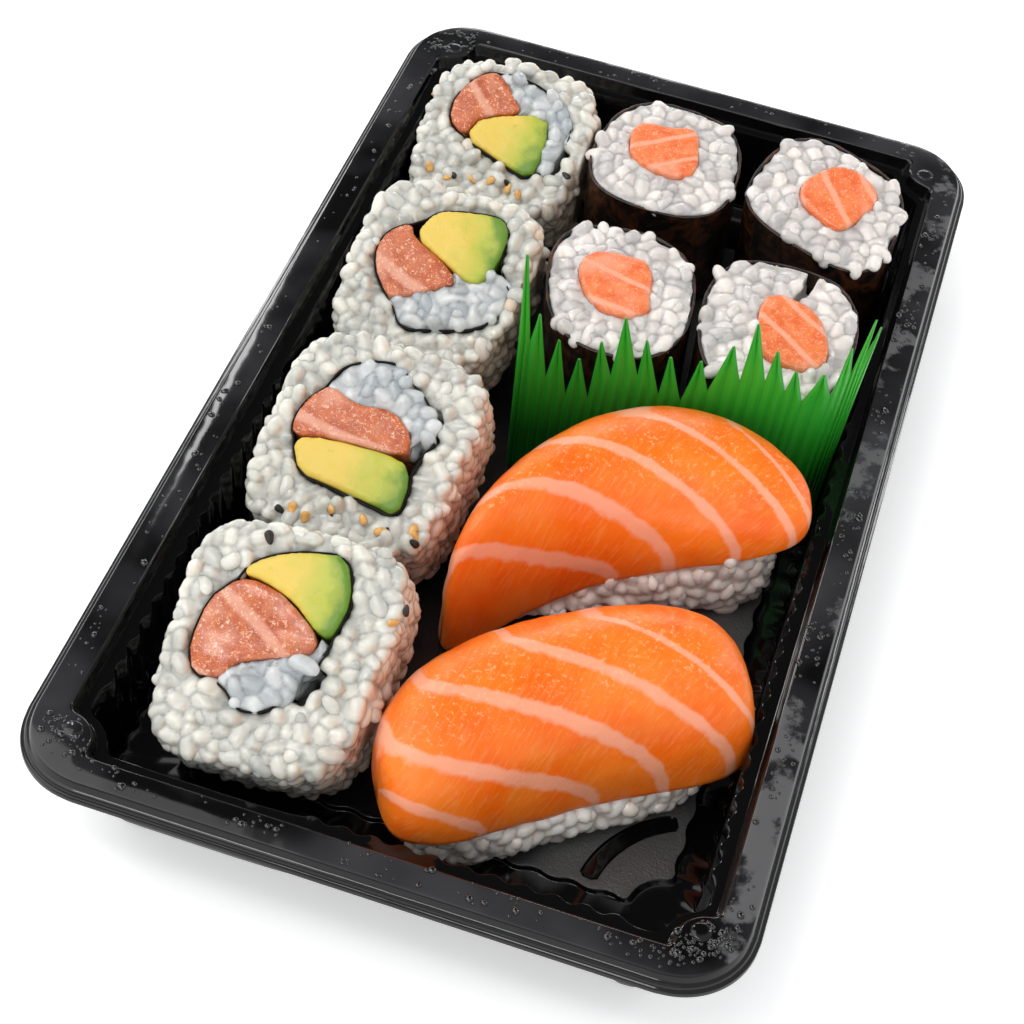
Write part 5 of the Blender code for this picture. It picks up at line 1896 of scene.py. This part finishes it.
@dataclass
class WaterDrops:
    """Condensation on the flange, thickest at the corners and the right side."""

    flange_height: float = 22.0
    inner: Point = (52.9, 96.0)
    outer: Point = (56.6, 99.8)
    bend: Point = (46.9, 90.0)
    cluster: float = 16.0
    count: int = 620
    seed: int = 51

    def build(self) -> Piece:
        """Strew flattened drops along the flange.

        Returns:
            The joined drops.
        """
        chance = random.Random(self.seed)
        drops = Scatter("water_drops", Template.ball((1.0, 1.0, 0.6), rings=5))
        laid = 0
        while laid < self.count:
            x, y = self.spot(chance)
            near_corner = math.hypot(abs(x) - self.outer[0], abs(y) - self.outer[1]) < self.cluster
            clump = math.sin(x * 0.31 + 1.0) * math.sin(y * 0.23) + chance.uniform(-0.7, 0.7)
            if clump < (-0.5 if near_corner else 0.2 if x < self.inner[0] else 0.0):
                continue
            turn = chance.uniform(0.0, math.tau)
            size = min(1.3, 0.35 + chance.expovariate(3.6))
            c, s = math.cos(turn), math.sin(turn)
            axes = np.array([[c, s, 0.0], [-s, c, 0.0], [0.0, 0.0, 1.0]])
            drops.add(np.array([x, y, self.flange_height]), axes,
                      (size * chance.uniform(1.0, 1.35), size, min(size, 1.1)))
            laid += 1
        return drops.build()

    def spot(self, chance: random.Random) -> Point:
        """A place on the flange; the corners have more than their share."""
        draw = chance.random()
        if draw < 0.3:
            side_x, side_y = chance.choice(((1.0, -1.0), (1.0, -1.0), (-1.0, -1.0), (-1.0, 1.0)))
            turn = chance.uniform(0.0, math.pi / 2.0)
            reach = chance.uniform(3.0, 9.0)
            return (side_x * (self.bend[0] + reach * math.cos(turn)),
                    side_y * (self.bend[1] + reach * math.sin(turn)))
        if draw < 0.75:
            return (chance.choice((1.0, 1.0, -1.0)) * chance.uniform(self.inner[0], self.outer[0]),
                    chance.uniform(-self.bend[1], self.bend[1]))
        return (chance.uniform(-self.bend[0], self.bend[0]),
                chance.choice((1.0, -1.0, -1.0)) * chance.uniform(self.inner[1], self.outer[1]))

    def dress(self, drops: Piece) -> None:
        """Make the drops clear water."""
        publish(drops, StandingWater("condensed_water"), "black_plastic")


# -------------------------------------------------------------------- studio
@dataclass
class Studio:
    """White sweep, soft boxes and the camera."""

    azimuth: float = 11.80
    elevation: float = 49.18
    roll: float = 7.67
    distance: float = 399.1
    target: Spot = (-4.42, -6.08, 0.0)
    lens: float = 76.2
    room: float = 0.78
    flag: Spot = (-0.134, 0.640, 0.757)
    flag_edge: Point = (0.80, 0.93)

    def build(self) -> None:
        """Set up floor, lights, world and camera."""
        self.lay_floor()
        self.hang("key_box", (-480.0, -60.0, 760.0), (700.0, 700.0), 3.2)
        self.hang("front_box", (60.0, -760.0, 440.0), (600.0, 400.0), 1.2)
        # Small bright panes that show as fine lines on the bends of the plastic.
        self.hang("right_pane", (530.0, 576.0, 440.0), (60.0, 420.0), 0.9)
        self.hang("left_pane", (-640.0, 570.0, 250.0), (60.0, 420.0), 0.7)
        self.hang("top_pane", (-120.0, -300.0, 840.0), (420.0, 60.0), 0.9)
        self.hang("back_pane", (-425.0, 544.0, 500.0), (50.0, 300.0), 0.6)
        self.hang("low_pane", (-114.0, 794.0, 285.0), (420.0, 50.0), 0.7)
        self.light_room()
        bpy.context.scene.view_settings.view_transform = "Standard"
        self.aim_camera()

    @staticmethod
    def lay_floor() -> None:
        """Lay the white sweep under the tray."""
        bpy.ops.mesh.primitive_plane_add(size=6.0, location=(0.0, 0.0, 0.0))
        floor = bpy.context.active_object
        floor.name = "paper_sweep"
        floor.data.materials.append(PaperSweep("matt_white_paper").material())

    def light_room(self) -> None:
        """A white room all round, with a black flag that the flat rim mirrors."""
        world = bpy.data.worlds.new("white_room")
        bpy.context.scene.world = world
        world.use_nodes = True
        tree = world.node_tree
        way = add_node(tree, "TexCoord").outputs["Generated"]
        near = add_node(tree, "VectorMath", {"operation": "DOT_PRODUCT", 1: self.flag}, {0: way})
        shade = add_node(tree, "MapRange",
                         {"From Min": self.flag_edge[0], "From Max": self.flag_edge[1],
                          "To Min": self.room, "To Max": 0.08, "interpolation_type": "SMOOTHSTEP"},
                         {"Value": near.outputs["Value"]})
        set_up(tree, tree.nodes["Background"], {"Color": linear("#fcfdff")}, {"Strength": shade})

    @staticmethod
    def hang(name: str, spot: Spot, size: Point, power: float) -> None:
        """Hang a soft box that faces the tray.

        Args:
            name: Name of the light.
            spot: Place in millimetres.
            size: Width and height in millimetres.
            power: Power in watts.
        """
        bpy.ops.object.light_add(type="AREA", location=[value * MM for value in spot])
        box = bpy.context.active_object
        box.name = name
        box.data.shape = "RECTANGLE"
        box.data.size, box.data.size_y = size[0] * MM, size[1] * MM
        box.data.energy = power
        box.rotation_euler = Vector(spot).to_track_quat("Z", "Y").to_euler()

    def aim_camera(self) -> None:
        """Aim the camera at the tray from its azimuth and elevation."""
        a, e = math.radians(self.azimuth), math.radians(self.elevation)
        back = Vector((math.sin(a) * math.cos(e), -math.cos(a) * math.cos(e), math.sin(e)))
        right = (-back).cross(Vector((0.0, 0.0, 1.0))).normalized()
        up = right.cross(-back)
        c, s = math.cos(math.radians(self.roll)), math.sin(math.radians(self.roll))
        columns = (right * c + up * s, up * c - right * s, back)
        bpy.ops.object.camera_add()
        camera = bpy.context.active_object
        stand = Matrix.Translation((Vector(self.target) + back * self.distance) * MM)
        camera.matrix_world = stand @ Matrix(columns).transposed().to_4x4()
        camera.data.sensor_width = 36.0
        camera.data.lens = self.lens
        camera.data.clip_start = 0.01
        bpy.context.scene.camera = camera


def main() -> None:
    """Build the looks piece by piece."""
    logging.basicConfig(level=logging.INFO, format="%(message)s")
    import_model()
    tray = FormedTray()
    tray.dress(tray.build())
    grain = Template.ball((4.5, 2.9, 2.6), bend=0.25)
    rolls = Uramaki()
    rolls.build(grain)
    Hosomaki().build(grain)
    NigiriPair().build(grain)
    grass = GrassStrip()
    grass.dress(grass.build())
    SesameSeeds().build(Neighbours.of(*(name + "_outer_rice_sticky" for name in rolls.names)))
    water = WaterDrops()
    water.dress(water.build())
    Studio().build()


if __name__ == "__main__":
    main()
